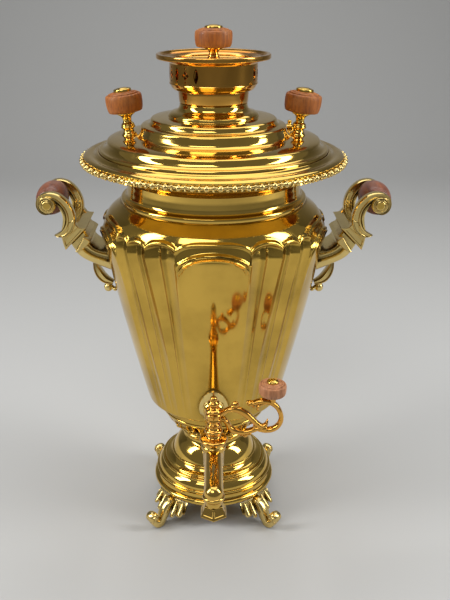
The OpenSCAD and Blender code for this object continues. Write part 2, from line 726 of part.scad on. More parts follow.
module tap_key()
    color(warm_brass)
    translate([0, -tap_reach, 0])
        difference() {
            union() {
                translate([0, 0, barrel_z]) cylinder(r1 = plug_r0, r2 = plug_r1, h = barrel_h);
                translate([0, 0, key_foot]) cylinder(r = 3.4, h = 9);
                lathe(concat([[0, barrel_top - 1], [plug_r1 - 0.2, barrel_top - 1], [plug_r1 - 0.2, skirt_z]],
                             arc(key_skirt_r - 1.6, skirt_z + 1.6, 1.6, -90, 70, 5),
                             curve([9.6, skirt_z + 5], [6, skirt_z + 5.4], [5.8, skirt_z + 8], 4),
                             arc(5.9, skirt_z + 10.9, 2.3, -80, 80, 6),
                             curve([5.2, skirt_z + 13.6], [4.6, skirt_z + 15.6], [5.4, skirt_z + 16.6], 4),
                             arc(5.4, skirt_z + 17.6, 1, -80, 80, 4),
                             [[4.9, column_z], [4.6, column_z + 3.8], [4.6, column_z + 11.2], [4.9, column_z + 11.4]],
                             arc(4.8, column_z + 14, 2.8, -80, 80, 6), [[0, finial_z]]));
                translate([0, 0, finial_z])
                    lathe(concat([[0, -1], [3.8, -1], [3.4, 1.6]], arc(3.6, 4.4, 2.2, -70, 60, 5),
                                 [[3.6, 7.4], [3.4, 8.6]], curve([3.2, 9], [2.6, 11.4], [0, 11.6], 4)));
            }
            translate([0, 0, tap_z]) rotate([0, 90, 0]) cylinder(r = spout_bore_r, h = 40, center = true);
        }

// The scrolls of the key's handle, drawn in x and z from the foot of the key's skirt. Those beyond
// the first leaf move out with the arm's length.
reach = key_arm - 52.5;
function out(points) = moved(points, [reach, 0]);
function key_upper() = concat(curve([4.2, 27.4], [13, 38], [25 + reach / 2, 32.8], 8),
                              curve([28 + reach / 2, 31.4], [36 + reach, 25.4], [45.6 + reach, 13.4], 5));
function key_lower() = concat(curve([4.2, 23.4], [13.4, 23.4], [14.8, 16.4], 6),
                              curve([15.2, 14.4], [19, 8.8], [32 + reach / 2, 10.6], 6),
                              out(curve([35, 11], [42, 12.8], [49, 12], 4)));
function key_loop() = out(concat(curve([48, 12.2], [61.4, 10.4], [62, 24.6], 8), curve([62.1, 27], [61.4, 35.4], [54.6, 41.2], 6)));
function key_top() = out(concat(curve([56.4, 40.4], [47, 43.4], [34, 39.4], 8)));
function key_curl() = out(curve([46, 41], [40.4, 39.4], [39.6, 34.8], 5));
key_knob_z = 48.4;

module key_scroll()
    color(warm_brass)
    translate([0, -tap_reach, skirt_z])
        difference() {
            union() {
                plate(key_t) {
                    polygon(bar(key_upper(), key_bar - 0.8, key_bar + 0.6));
                    polygon(bar(key_lower(), key_bar, key_bar - 0.6));
                    polygon(bar(key_loop(), key_bar - 0.6, key_bar - 0.4));
                    polygon(bar(key_top(), key_bar - 0.4, key_bar - 2));
                    polygon(bar(key_curl(), key_bar - 1.6, 1.6));
                    translate([19.6 + reach / 2, 35.2]) rotate(-20) almond(5.4, 9);
                    translate([29 + reach / 2, 8.4]) rotate(10) almond(4.6, 8);
                    translate([39.6 + reach, 35.4]) circle(1.9);
                    translate([33.6 + reach, 39]) circle(2.4);
                    translate([47.6 + reach, 17.4]) rotate(-6) almond(4.8, 13);
                    translate([48.4 + reach, 13]) circle(3.6);
                }
                translate([0, 0, 21.8]) cylinder(r = 7, h = 7.6);
                translate([key_arm, 0, 38.6])
                    lathe([[0, 0], [3, 0], [3.4, key_knob_z - 42], [5, key_knob_z - 39.8], [5, key_knob_z - 38.6],
                           [knob_rod_r, key_knob_z - 38.6], [knob_rod_r, key_knob_z - 30.6], [0, key_knob_z - 30.6]]);
            }
            cylinder(r = 4.6 + seat, h = 100);
            // room for the column's ring over the socket
            translate([0, 0, column_z - skirt_z + 11.15]) cylinder(r = 7.9, h = 6.2);
        }

// A turned wooden knob on its foot at z = 0: drum with stepped top and a blind hole for its rod
module wood_knob(r, h)
    difference() {
        lathe(concat([[0, 0], [0.78 * r, 0]], curve([0.84 * r, 0], [0.93 * r, 0.04 * h], [0.95 * r, 0.16 * h], 3),
                     curve([0.97 * r, 0.3 * h], [1.01 * r, 0.55 * h], [0.98 * r, 0.76 * h], 4),
                     curve([0.97 * r, 0.82 * h], [0.94 * r, 0.87 * h], [0.87 * r, 0.88 * h], 3),
                     [[0.84 * r, 0.86 * h], [0.81 * r, 0.87 * h], [0.8 * r, 0.93 * h]],
                     curve([0.78 * r, 0.95 * h], [0.7 * r, 0.96 * h], [0.64 * r, 0.96 * h], 2),
                     [[0.6 * r, 0.98 * h], [0.54 * r, h], [0, h]]));
        translate([0, 0, -1]) cylinder(r = knob_rod_r + seat, h = 9 + seat);
    }

// The brass disc that closes the knob's rod hole on top
module knob_button(r) lathe(concat([[0, 0], [r, 0], [r, 1]], curve([0.92 * r, 1.8], [0.5 * r, 2.8], [0, 2.9], 4)));

module key_knob()
    color(wood)
    translate([key_arm, -tap_reach, skirt_z + key_knob_z + seat]) wood_knob(key_knob_r, key_knob_h);

module key_button()
    color(brass)
    translate([key_arm, -tap_reach, skirt_z + key_knob_z + key_knob_h + 2 * seat]) knob_button(0.42 * key_knob_r);

module key_washer()
    color(brass)
    translate([0, -tap_reach, barrel_z - rest_gap - 1.4])
        difference() {
            cylinder(r = plug_r0 + 1.4, h = 1.4);
            translate([0, 0, -1]) cylinder(r = 3.4 + seat, h = 4);
        }

module key_nut()
    color(brass)
    translate([0, -tap_reach, barrel_z - rest_gap - 1.4 - seat - 4])
        difference() {
            cylinder(r = 6.6, h = 4, $fn = 6);
            translate([0, 0, -1]) cylinder(r = 3.4 + seat, h = 6);
        }

// ---- Handles ----

arm_y = grip_len / 2 + arm_t / 2 + seat;

// Outline of one arm, from its scroll round to the leaf points over the collar
module arm_outline()
    translate([grip_x, grip_z]) {
        circle(scroll_r);
        polygon(bar(concat([[0, 6.6]], curve([-3, 8.6], [-21, 12.6], [-23, -8], 8),
                           curve([-23, -10], [-23, -24], [-19.6, -40], 5)), 7, 9));
        // leaf curling outward under the scroll
        polygon(concat(curve([-19.4, -12], [-19.4, -26], [-4.4, -32], 8),
                       curve([-4.4, -32], [-16, -36], [-26, -26], 8)));
        // leaf point turned towards the body
        polygon(concat(curve([-27, -13], [-28, -19], [-37, -21.4], 5),
                       curve([-37, -21.4], [-34, -31], [-22, -44], 6), [[-18, -36]]));
    }

collar_x = grip_x - 18.4;
collar_mid_z = grip_z - 41.4;

module handle_collar()
    plate(2 * arm_y + arm_t + 2)
        translate([collar_x, collar_mid_z]) rotate(45) {
            square([8, 12.4], center = true);
            square([10.4, 5], center = true);
        }

// The bracket: calyx lip, concave neck and round belly against the body
calyx_w = 2 * arm_y + arm_t + 10;

module handle_bracket() {
    top = [grip_x - 37.4, grip_z - 33.4];
    low = [grip_x - 24.4, grip_z - 46];
    plate(calyx_w)
        polygon([top, top + [3.4, 0.6], low + [2, 3], low, low + [-3.4, 0.4], top + [-0.2, -4]]);
    intersection() {
        plate(bracket_w)
            polygon(concat(curve(top, [grip_x - 38, grip_z - 47], [100, grip_z - 52], 8), [[100, stud_z - 10]],
                           curve([110, stud_z - 12], [grip_x - 24, stud_z - 4], low, 8)));
        translate([grip_x - 26, 0, grip_z]) sphere(80);
    }
    // leaf and pearl under the belly
    plate(14)
        polygon(concat(curve([grip_x - 46, stud_z - 8], [grip_x - 37, stud_z - 12], [grip_x - 38, stud_z - 14], 3),
                       curve([grip_x - 38, stud_z - 16], [grip_x - 42, stud_z - 26], [grip_x - 56, stud_z - 32], 6),
                       [[100, stud_z - 30], [100, stud_z - 8]]));
    translate([grip_x - 50.4, 0, stud_z - 34.6]) sphere(4.8);
}

module handle() {
    difference() {
        union() {
            for (s = [-1, 1]) translate([0, s * arm_y, 0]) plate(arm_t) arm_outline();
            handle_collar();
            handle_bracket();
        }
        body_block(seat);
        translate([grip_x, 0, grip_z]) rotate([90, 0, 0]) cylinder(r = rod_r + seat, h = 200, center = true);
    }
    translate([body_r(stud_z) - 14, 0, stud_z]) rotate([0, 90, 0]) cylinder(r = stud_r, h = 24);
}

module handle_right() color(brass) handle();
module handle_left() color(brass) mirror([1, 0, 0]) handle();

module grip()
    translate([grip_x, 0, grip_z]) rotate([90, 0, 0])
        difference() {
            rotate_extrude() {
                half = grip_len / 2 - seat;
                polygon(concat([[rod_r + seat, -half], [grip_r - 4.4, -half], [grip_r - 3.4, 2 - half],
                                [grip_r - 3.6, 4 - half]],
                               curve([grip_r - 2, 5.4 - half], [grip_r + 0.9, 0], [grip_r - 2, half - 5.4], 10),
                               [[grip_r - 3.6, half - 4], [grip_r - 3.4, half - 2], [grip_r - 4.4, half],
                                [rod_r + seat, half]]));
            }
        }

module grip_right() color(grip_wood) grip();
module grip_left() color(grip_wood) mirror([1, 0, 0]) grip();

module grip_rod() {
    reach = arm_y + arm_t / 2 + seat;
    translate([grip_x, 0, grip_z]) rotate([90, 0, 0]) {
        cylinder(r = rod_r, h = 2 * reach + 1, center = true);
        for (s = [0, 1]) mirror([0, 0, s]) translate([0, 0, reach]) cylinder(r1 = rod_r + 2, r2 = rod_r + 1, h = 1.8);
    }
}

module grip_rod_right() color(iron) grip_rod();
module grip_rod_left() color(iron) mirror([1, 0, 0]) grip_rod();

module handle_nuts()
    color(brass)
    for (s = [0, 1]) mirror([s, 0, 0])
        translate([body_r(stud_z) - sheet - flute_depth - 4.6, 0, stud_z]) rotate([0, 90, 0])
            difference() {
                cylinder(r = stud_r + 3.4, h = 4, $fn = 6);
                translate([0, 0, -1]) cylinder(r = stud_r + seat, h = 6);
            }

// ---- Lid ----

// The lid's steps are drawn on a breadth of 79.7 and a height of 44.8, and stretched to the named
// sizes: r counts outward from the collar and z upward from the seat
function lid_at(r, z) = [lid_collar_r + r * (lid_r - lid_collar_r) / 79.7, lid_z + z * lid_h / 44.8];

// Upper line of the lid, from the collar's inner edge out to the rolled rim
function lid_line() =
    concat([[flue_r + slide_gap, lid_top], [lid_collar_r - 0.6, lid_top], [lid_collar_r, lid_top - 0.8],
            [lid_collar_r, lid_top - 5]],
           curve([lid_collar_r, lid_top - 6], lid_at(0.6, 35.2), lid_at(9.9, 34.9), 4),
           [lid_at(10.9, 33.8), lid_at(11.3, 32.1), lid_at(19.1, 31.8), lid_at(26.7, 31.4),
            lid_at(28.4, 30.4), lid_at(28.8, 28.2), lid_at(30.3, 25.9), lid_at(36.5, 24.9),
            lid_at(38.1, 23.7), lid_at(38.5, 20.2), lid_at(39.3, 16.8), lid_at(41.7, 15.1)],
           curve(lid_at(45.1, 14.6), lid_at(67.7, 13.8), lid_at(70.7, 11.6), 4),
           curve(lid_at(71.1, 10), lid_at(72.1, 5.6), [lid_r - 3, lid_z + 5.1], 4),
           arc(lid_r - 2, lid_z + 3.1, 2, 90, 0, 4));

module lid_dome()
    color(brass)
    difference() {
        lathe(concat(lid_line(), [[lid_r, lid_z + rest_gap], [lid_r - 5, lid_z + rest_gap]],
                     [for (p = turned_round(lid_line())) if (p.x < lid_r - 5 && p.y < lid_top - 0.5)
                         p - [lid_sheet * 0.75, lid_sheet]],
                     [[flue_r + slide_gap, lid_top - lid_sheet]]));
        for (s = [-1, 1])
            lid_knob_place(s) translate([0, 0, -8]) cylinder(r = lid_tail_r + seat, h = 12);
        lid_vent_place() translate([0, 0, -8]) cylinder(r = vent_hole_r, h = 12);
    }

lid_knob_z = lid_at(0, 14.3).y - 0.3;
lid_tail_r = 3;
vent_hole_r = 1.6;

module lid_knob_place(s) translate([s * lid_knob_at, 0, lid_knob_z]) rotate([0, s * lid_knob_lean, 0]) children();

module lid_stem()
    lathe(concat([[0, -4.2], [lid_tail_r + 1.4, -4.2], [lid_tail_r + 1.2, -2.9], [lid_tail_r, -2.8], [lid_tail_r, 0.6], [4.8, 0.6],
                  [5.2, 1.4]],
                 curve([4.4, 2.4], [4.2, 4.4], [4.8, 6], 3), [[5.8, 7], [5.8, 8.6], [4.9, 9.2], [5.6, 10], [5.6, 11.6], [4.7, 12.4]],
                 curve([4.4, 14], [4.2, lid_stem_h - 4.6], [5.2, lid_stem_h - 3.2], 4),
                 [[8.6, lid_stem_h - 1.6], [8.9, lid_stem_h - 0.8], [8.6, lid_stem_h], [knob_rod_r, lid_stem_h],
                  [knob_rod_r, lid_stem_h + 8], [0, lid_stem_h + 8]]));

module lid_stem_right() color(brass) lid_knob_place(1) lid_stem();
module lid_stem_left() color(brass) lid_knob_place(-1) lid_stem();
module lid_knob(s) lid_knob_place(s) translate([0, 0, lid_stem_h + seat]) wood_knob(knob_r, knob_h);
module lid_knob_right() color(wood) lid_knob(1);
module lid_knob_left() color(wood) lid_knob(-1);
module lid_button(s) lid_knob_place(s) translate([0, 0, lid_stem_h + knob_h + 2 * seat]) knob_button(0.48 * knob_r);
module lid_button_right() color(brass) lid_button(1);
module lid_button_left() color(brass) lid_button(-1);

// Steam vent: a small turning cap behind the right knob
vent_dir = 27;
vent_at = 87;
vent_lean = 5;

module lid_vent_place() rotate(vent_dir) translate([vent_at, 0, lid_knob_z]) rotate([0, vent_lean, 0]) children();

module vent_cap()
    color(brass)
    lid_vent_place()
        lathe([[0, -3.4], [vent_hole_r - 0.08, -3.4], [vent_hole_r - 0.08, 0.6], [5.4, 0.6], [6.4, 1.4], [6.4, 3], [4.6, 3.8],
               [2.2, 4.4], [1.8, 5.6], [2.4, 6.8], [2.2, 8], [0, 8.6]]);

// ---- Crown ----

band_z0 = crown_z + 19;
band_z1 = crown_top - 8.2;
sleeve_h = 11.4;

// Flared foot of the crown, with the bead that the pierced band stands on
module crown_cup()
    color(warm_brass)
    lathe(concat([[flue_r + slide_gap, crown_z + sleeve_h + seat], [33.8, crown_z + sleeve_h + seat],
                  [34.6, crown_z + sleeve_h + 0.8]],
                 curve([35.4, crown_z + 13.4], [40.8, crown_z + 14.4], [crown_band_r - 0.6, band_z0 - 1.6], 4),
                 [[crown_band_r + 0.6, band_z0 - 1.2], [crown_band_r + 0.6, band_z0],
                  [crown_band_r - crown_wall, band_z0], [crown_band_r - 5, band_z0 - 2.6],
                  [flue_r + slide_gap, crown_z + sleeve_h + 1.8]]));

module crown_gallery()
    color(warm_brass)
    difference() {
        translate([0, 0, band_z0]) cylinder(r = crown_band_r, h = band_z1 - band_z0);
        translate([0, 0, band_z0 - 1]) cylinder(r = crown_band_r - crown_wall, h = band_z1 - band_z0 + 2);
        for (p = [0 : crown_panels - 1], i = [0 : crown_motifs - 1])
            rotate(crown_turn + 360 * p / crown_panels + crown_pitch * (i - (crown_motifs - 1) / 2))
                translate([crown_band_r, 0, (band_z0 + band_z1) / 2]) rotate([90, 0, 90])
                linear_extrude(8, center = true) crown_motif(i % 2 == 0);
    }

// Flared rim on the pierced band, where a teapot stands
module crown_flange()
    color(warm_brass)
    lathe(concat([[crown_band_r - crown_wall, band_z1], [crown_band_r, band_z1]],
                 curve([crown_band_r + 0.4, band_z1 + 0.4], [crown_band_r + 2, band_z1 + 3],
                       [crown_r - 4, crown_top - 4.9], 4),
                 [[crown_r - 0.6, crown_top - 4.7], [crown_r, crown_top - 4.1], [crown_r, crown_top - 0.5],
                  [crown_r - 0.5, crown_top], [crown_r - 3.4, crown_top], [crown_r - 4.6, crown_top - 2],
                  [crown_band_r + 2.4, crown_top - 3.2], [crown_band_r - crown_wall, crown_top - 4.6]]));

// Pierced motifs: a pointed leaf slot, and a four-petalled flower between two dots
module crown_motif(leaf)
    if (leaf) {
        almond(4.6, 14);
    } else {
        for (a = [0 : 90 : 270]) rotate(a) translate([2.3, 0]) circle(1.5, $fn = 20);
        for (s = [-1, 1]) translate([0, s * 6.2]) circle(1, $fn = 20);
    }

module crown_sleeve()
    color(brass)
    lathe(concat([[flue_r + slide_gap, crown_z], [33.1, crown_z]],
                 curve([34, crown_z + 1], [36.6, crown_z + 4.6], [35.4, crown_z + 8.6], 5),
                 [[34.2, crown_z + 10], [33.8, crown_z + sleeve_h], [flue_r + slide_gap, crown_z + sleeve_h]]));

// ---- Cap ----

cap_z = max(flue_top, crown_z + 36.4) + rest_gap;
plug_skirt_h = 7;

module cap_plate()
    color(brass)
    lathe([[flue_r - flue_wall - rest_gap - 1.2, cap_z - plug_skirt_h], [flue_r - flue_wall - rest_gap, cap_z - plug_skirt_h],
           [flue_r - flue_wall - rest_gap, cap_z], [cap_r, cap_z], [cap_r, cap_z + cap_t + 0.6], [cap_r - 1.8, cap_z + cap_t + 0.6],
           [cap_r - 2.6, cap_z + cap_t], [17, cap_z + cap_t], [15.4, cap_z + cap_t + 1.2], [7, cap_z + cap_t + 1.8],
           [cap_tail_r + seat, cap_z + cap_t + 1.8], [cap_tail_r + seat, cap_z], [flue_r - flue_wall - rest_gap - 1.2, cap_z]]);

cap_tail_r = 3;
cap_stem_z = cap_z + cap_t + 1.8 + seat;

module cap_stem()
    color(warm_brass)
    translate([0, 0, cap_stem_z])
        lathe(concat([[0, -5.4], [cap_tail_r + 1.6, -5.4], [cap_tail_r + 1.6, -3.8], [cap_tail_r, -3.8], [cap_tail_r, 0], [6.4, 0],
                      [6.4, 1], [5.2, 1.8], [5.2, 3.4]],
                     curve([4.4, 4], [4.2, cap_stem_h - 4.4], [5.2, cap_stem_h - 3.4], 4),
                     [[5.4, cap_stem_h - 2.4], [8.4, cap_stem_h - 1], [8.4, cap_stem_h], [knob_rod_r, cap_stem_h],
                      [knob_rod_r, cap_stem_h + 8], [0, cap_stem_h + 8]]));

module cap_knob() color(wood) translate([0, 0, cap_stem_z + cap_stem_h + seat]) wood_knob(knob_r, cap_knob_h);
module cap_button()
    color(brass) translate([0, 0, cap_stem_z + cap_stem_h + cap_knob_h + 2 * seat]) knob_button(0.48 * knob_r);

// ---- Output ----

base_plinth();
foot_front_right();
foot_front_left();
foot_rear_left();
foot_rear_right();
foot_screws();
air_collar();
body_shell();
fire_tube();
grate();
neck_ring();
rim_flange();
bead_border();
tap_rosette();
tap_body();
tap_gasket();
tap_lock_nut();
tap_key();
key_scroll();
key_knob();
key_button();
key_washer();
key_nut();
handle_right();
handle_left();
grip_right();
grip_left();
grip_rod_right();
grip_rod_left();
handle_nuts();
lid_dome();
lid_stem_right();
lid_stem_left();
lid_knob_right();
lid_knob_left();
lid_button_right();
lid_button_left();
vent_cap();
crown_cup();
crown_gallery();
crown_flange();
crown_sleeve();
cap_plate();
cap_stem();
cap_knob();
cap_button();
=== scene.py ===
"""Brass tea samovar: fluted vase body, moulded base on four feet, pierced collar and crown, lift-off
lid, scroll handles with wooden grips and a plug tap. Shapes are drawn in millimetres."""
import json
import math

import bmesh
import bpy
from mathutils import Matrix, Vector


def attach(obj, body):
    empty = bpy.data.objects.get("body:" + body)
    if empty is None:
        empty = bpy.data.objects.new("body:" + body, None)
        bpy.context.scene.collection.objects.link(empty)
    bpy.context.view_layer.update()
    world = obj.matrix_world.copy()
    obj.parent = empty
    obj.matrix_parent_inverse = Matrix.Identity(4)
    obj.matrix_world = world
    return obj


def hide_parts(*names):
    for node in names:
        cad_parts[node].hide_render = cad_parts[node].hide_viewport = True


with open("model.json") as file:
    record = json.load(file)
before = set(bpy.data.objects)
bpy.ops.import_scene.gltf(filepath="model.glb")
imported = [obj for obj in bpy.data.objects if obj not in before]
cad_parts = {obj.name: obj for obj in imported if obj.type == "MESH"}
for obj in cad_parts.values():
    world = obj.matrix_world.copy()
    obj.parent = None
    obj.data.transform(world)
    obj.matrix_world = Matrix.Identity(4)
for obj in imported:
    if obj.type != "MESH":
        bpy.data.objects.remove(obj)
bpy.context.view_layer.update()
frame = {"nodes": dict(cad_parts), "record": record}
MM = 0.001
TURN = 2 * math.pi

# ---------------------------------------------------------------- camera

# Pixels
FOCAL, PICTURE_H = 780, 600
camera = bpy.data.objects.new("camera", bpy.data.cameras.new("camera"))
bpy.context.scene.collection.objects.link(camera)
camera.data.sensor_fit = "VERTICAL"
camera.data.sensor_height = 36
camera.data.lens = FOCAL / PICTURE_H * camera.data.sensor_height
camera.data.shift_x = 11.4 / PICTURE_H
camera.location = (0, -0.7698, 0.5703)
camera.rotation_euler = (math.radians(90 - 22.663), 0, 0)
bpy.context.scene.camera = camera


# ---------------------------------------------------------------- finishes

class Value:
    """A shader socket that sums can be written with."""

    def __init__(self, finish, socket):
        self.finish = finish
        self.socket = socket

    def sum(self, operation, a, b):
        return self.finish.node("ShaderNodeMath", {"operation": operation}, {0: a, 1: b})

    def __add__(self, other):
        return self.sum("ADD", self, other)

    def __radd__(self, other):
        return self.sum("ADD", other, self)

    def __sub__(self, other):
        return self.sum("SUBTRACT", self, other)

    def __rsub__(self, other):
        return self.sum("SUBTRACT", other, self)

    def __mul__(self, other):
        return self.sum("MULTIPLY", self, other)

    def __rmul__(self, other):
        return self.sum("MULTIPLY", other, self)


class Finish:
    """A material and its nodes."""

    def __init__(self, name):
        self.material = bpy.data.materials.new(name)
        self.material.use_nodes = True
        self.tree = self.material.node_tree
        self.shader = self.tree.nodes["Principled BSDF"]

    def node(self, kind, settings=None, sockets=None, out=0):
        """A new node. The setting called stops gives a ramp its two (place, grey level) stops."""
        node = self.tree.nodes.new(kind)
        for key, value in (settings or {}).items():
            if key == "stops":
                for stop, (at, level) in zip(node.color_ramp.elements, value):
                    stop.position = at
                    stop.color = (level, level, level, 1)
            else:
                setattr(node, key, value)
        for key, value in (sockets or {}).items():
            self.feed(node.inputs[key], value)
        return Value(self, node.outputs[out])

    def feed(self, socket, value):
        if isinstance(value, Value):
            self.tree.links.new(value.socket, socket)
        else:
            socket.default_value = value

    def surface(self, **values):
        for key, value in values.items():
            self.feed(self.shader.inputs[key.replace("_", " ")], value)

    def place(self, scale=(1, 1, 1), turn=(0, 0, 0)):
        spot = self.node("ShaderNodeTexCoord", out=3)
        return self.node("ShaderNodeMapping", None, {"Vector": spot, "Scale": scale, "Rotation": turn})

    def noise(self, where, scale, detail=4, rough=0.55, distortion=0.0):
        return self.node("ShaderNodeTexNoise", None, {
            "Vector": where, "Scale": scale, "Detail": detail, "Roughness": rough, "Distortion": distortion})

    def ramp(self, value, *stops):
        return self.node("ShaderNodeValToRGB", {"stops": stops}, {0: value})

    def mix(self, factor, a, b):
        return self.node("ShaderNodeMix", {"data_type": "RGBA"}, {0: factor, 6: rgba(a), 7: rgba(b)}, out=2)

    # Ambient occlusion share, used to darken hollows in base colour: painted shade
    def crevice(self, reach):
        return 1 - self.node("ShaderNodeAmbientOcclusion", {"samples": 6}, {"Distance": reach}, out=1)

    def bump(self, height, strength, depth):
        return self.node("ShaderNodeBump", None, {"Height": height, "Strength": strength, "Distance": depth})


def rgba(colour):
    return colour if isinstance(colour, Value) else (*colour, 1)


def polished_brass(name, colour, tarnish, rough, grime_and_shade=0.0, wave=0.25, grain=0.0, reach=0.006,
                   onset=(0.34, 0.8)):
    """Brass with faint clouding and rubbed streaks; where an amount of darkening is given, its hollows are
    darkened in base colour, partly as dark residue and partly as painted shade.
    """
    finish = Finish(name)
    finish.surface(Metallic=1.0)
    where = finish.place()
    cloud = finish.noise(where, 22, 5)
    smear = finish.noise(finish.place((60, 60, 9)), 1, 4, 0.6, 0.6)
    speck = finish.ramp(finish.noise(where, 900, 2), (0.7, 0), (0.78, 1))
    shade = finish.mix(finish.ramp(cloud, (0.42, 0), (0.78, 1)) * 0.55, colour, tarnish)
    shade = finish.mix(speck * 0.25, shade, tuple(c * 0.35 for c in tarnish))
    rubbed = 0.10 * finish.ramp(smear, (0.4, 0), (0.9, 1))
    gloss = rough + rubbed + 0.12 * finish.ramp(cloud, (0.5, 0), (0.85, 1))
    # Painted shade with dark residue: occlusion darkens the base colour in hollows and under rims, and
    # roughens them
    if grime_and_shade:
        hollow = finish.ramp(finish.crevice(reach) + 0.25 * (cloud - 0.5), (onset[0], 0), (onset[1], 1))
        shade = finish.mix(hollow * grime_and_shade, shade, tuple(c * 0.16 for c in tarnish))
        gloss = gloss + 0.3 * hollow * grime_and_shade
    height = finish.noise(where, 14, 2, 0.4) * wave + finish.noise(where, 700, 3) * (0.002 + grain)
    finish.surface(Base_Color=shade, Roughness=gloss, Normal=finish.bump(height, 1.0, 0.0009))
    return finish.material


def turned_wood(name, dark, light, pale, rough, coat, lift=0.0004, stretch=(260, 260, 26)):
    """Turned hardwood: long grain, pores, a worn paler bloom, lathe rings, and painted shade in its grooves.
    """
    finish = Finish(name)
    where = finish.place(stretch)
    grain = finish.noise(where, 1, 6, 0.62, 0.4)
    pores = finish.ramp(finish.noise(finish.place((1400, 1400, 90)), 1, 3), (0.56, 0), (0.7, 1))
    patch = finish.noise(finish.place(), 70, 4)
    shade = finish.mix(finish.ramp(grain, (0.3, 0), (0.72, 1)), dark, light)
    shade = finish.mix(finish.ramp(patch, (0.5, 0), (0.8, 1)) * 0.5, shade, pale)
    shade = finish.mix(pores * 0.55, shade, tuple(c * 0.35 for c in dark))
    # Painted shade: occlusion darkens the base colour in grooves and crevices
    hollow = finish.ramp(finish.crevice(0.004), (0.35, 0), (0.8, 1))
    shade = finish.mix(hollow * 0.5, shade, tuple(c * 0.3 for c in dark))
    finish.surface(Coat_Weight=coat, Coat_Roughness=0.12, Specular_IOR_Level=0.4)
    finish.surface(Base_Color=shade, Roughness=rough + 0.2 * grain,
                   Normal=finish.bump(grain - 0.8 * pores, 0.5, lift))
    return finish.material


BRASS = polished_brass("polished brass", (0.75, 0.49, 0.105), (0.46, 0.30, 0.07), 0.05, wave=0.08)
# Fluted brass: a 20 mm occlusion reach darkens the flutes and the wall under the hoods, mostly painted shade
FLUTED = polished_brass("fluted brass", (0.73, 0.47, 0.09), (0.30, 0.18, 0.03), 0.07, grime_and_shade=0.85, wave=0.08,
                       reach=0.02, onset=(0.08, 0.42))
# Tap, warm and cast brass also darken their hollows: dark residue and painted shade
TAP_BRASS = polished_brass("tap brass", (0.74, 0.47, 0.11), (0.42, 0.26, 0.06), 0.1, grime_and_shade=0.7, wave=0.08)
WARM = polished_brass("warm brass", (0.80, 0.42, 0.08), (0.50, 0.24, 0.04), 0.09, grime_and_shade=0.5, wave=0.08)
CAST = polished_brass("cast brass", (0.80, 0.60, 0.22), (0.52, 0.38, 0.14), 0.17, grime_and_shade=0.75, wave=0.3,
                      grain=0.02)
KNOB_WOOD = turned_wood("knob wood", (0.20, 0.055, 0.010), (0.50, 0.155, 0.022), (0.55, 0.24, 0.07),
                        0.45, 0.06)
KEY_WOOD = turned_wood("key knob wood", (0.28, 0.11, 0.045), (0.62, 0.27, 0.12), (0.68, 0.42, 0.28),
                       0.5, 0.04)
GRIP_WOOD = turned_wood("grip wood", (0.10, 0.024, 0.010), (0.29, 0.08, 0.028), (0.36, 0.19, 0.12),
                        0.30, 0.3, stretch=(150, 26, 150))
IRON = polished_brass("dark iron", (0.20, 0.19, 0.18), (0.10, 0.09, 0.085), 0.45, grain=0.05)
LEATHER = turned_wood("pressed leather", (0.16, 0.09, 0.05), (0.28, 0.17, 0.1), (0.3, 0.2, 0.13), 0.7, 0.0)
FINISHES = {"brass": BRASS, "warm_brass": WARM, "cast_brass": CAST, "knob_wood": KNOB_WOOD,
            "grip_wood": GRIP_WOOD, "iron": IRON, "gasket": LEATHER}


# ---------------------------------------------------------------- lines

def bow_point(a, b, c, t):
    """A point on the curve from a to c, drawn towards b."""
    return tuple((1 - t) ** 2 * p + 2 * t * (1 - t) * q + t * t * r for p, q, r in zip(a, b, c))


def bow(a, b, c, n=8):
    return [bow_point(a, b, c, i / n) for i in range(n + 1)]


def arc(x, y, r, start, end, n=8):
    angles = [math.radians(start + (end - start) * i / n) for i in range(n + 1)]
    return [(x + r * math.cos(a), y + r * math.sin(a)) for a in angles]


def between(stops, at):
    """The value at a place on a line of (place, value) stops."""
    for (a0, b0), (a1, b1) in zip(stops, stops[1:]):
        if at <= a1:
            return b0 + (b1 - b0) * (at - a0) / (a1 - a0)
    return stops[-1][1]


def ridge(distance, width):
    return math.exp(-(distance / width) ** 2)


def mirrored(line):
    """The other half of a line in r and z that starts below z = 0."""
    return [(r, -z, *own) for r, z, *own in reversed(line)]


def squared(v, power):
    """Cosine and sine of a share of a turn, squarer as the power falls below 1."""
    c, s = math.cos(TURN * v), math.sin(TURN * v)
    return math.copysign(abs(c) ** power, c), math.copysign(abs(s) ** power, s)


def smooth_line(points, n=8):
    """Curve through all the points, with any number of coordinates."""
    line = []
    last = len(points) - 1
    for i in range(last):
        p0, p1, p2, p3 = (points[max(i - 1, 0)], points[i], points[i + 1], points[min(i + 2, last)])
        for k in range(n):
            t = k / n
            line.append(tuple(
                0.5 * (2 * b + (c - a) * t + (2 * a - 5 * b + 4 * c - d) * t * t
                       + (3 * b - a - 3 * c + d) * t ** 3)
                for a, b, c, d in zip(p0, p1, p2, p3)))
    line.append(tuple(points[-1]))
    return line


def eased(points, radius=0.5, n=3, ends=False):
    """A line with each corner rounded. A point's third number is its own radius."""
    line = []
    count = len(points)
    for i, point in enumerate(points):
        if (i in (0, count - 1)) and not ends:
            line.append((point[0], point[1]))
            continue
        here = Vector(point[:2])
        before, after = Vector(points[i - 1][:2]), Vector(points[(i + 1) % count][:2])
        back, ahead = before - here, after - here
        r = point[2] if len(point) > 2 else radius
        reach = min(r, 0.45 * back.length, 0.45 * ahead.length)
        if reach < 1e-4 or back.angle(ahead, 0) > math.radians(174):
            line.append((here.x, here.y))
            continue
        line += bow(here + back.normalized() * reach, here, here + ahead.normalized() * reach, n)
    return line


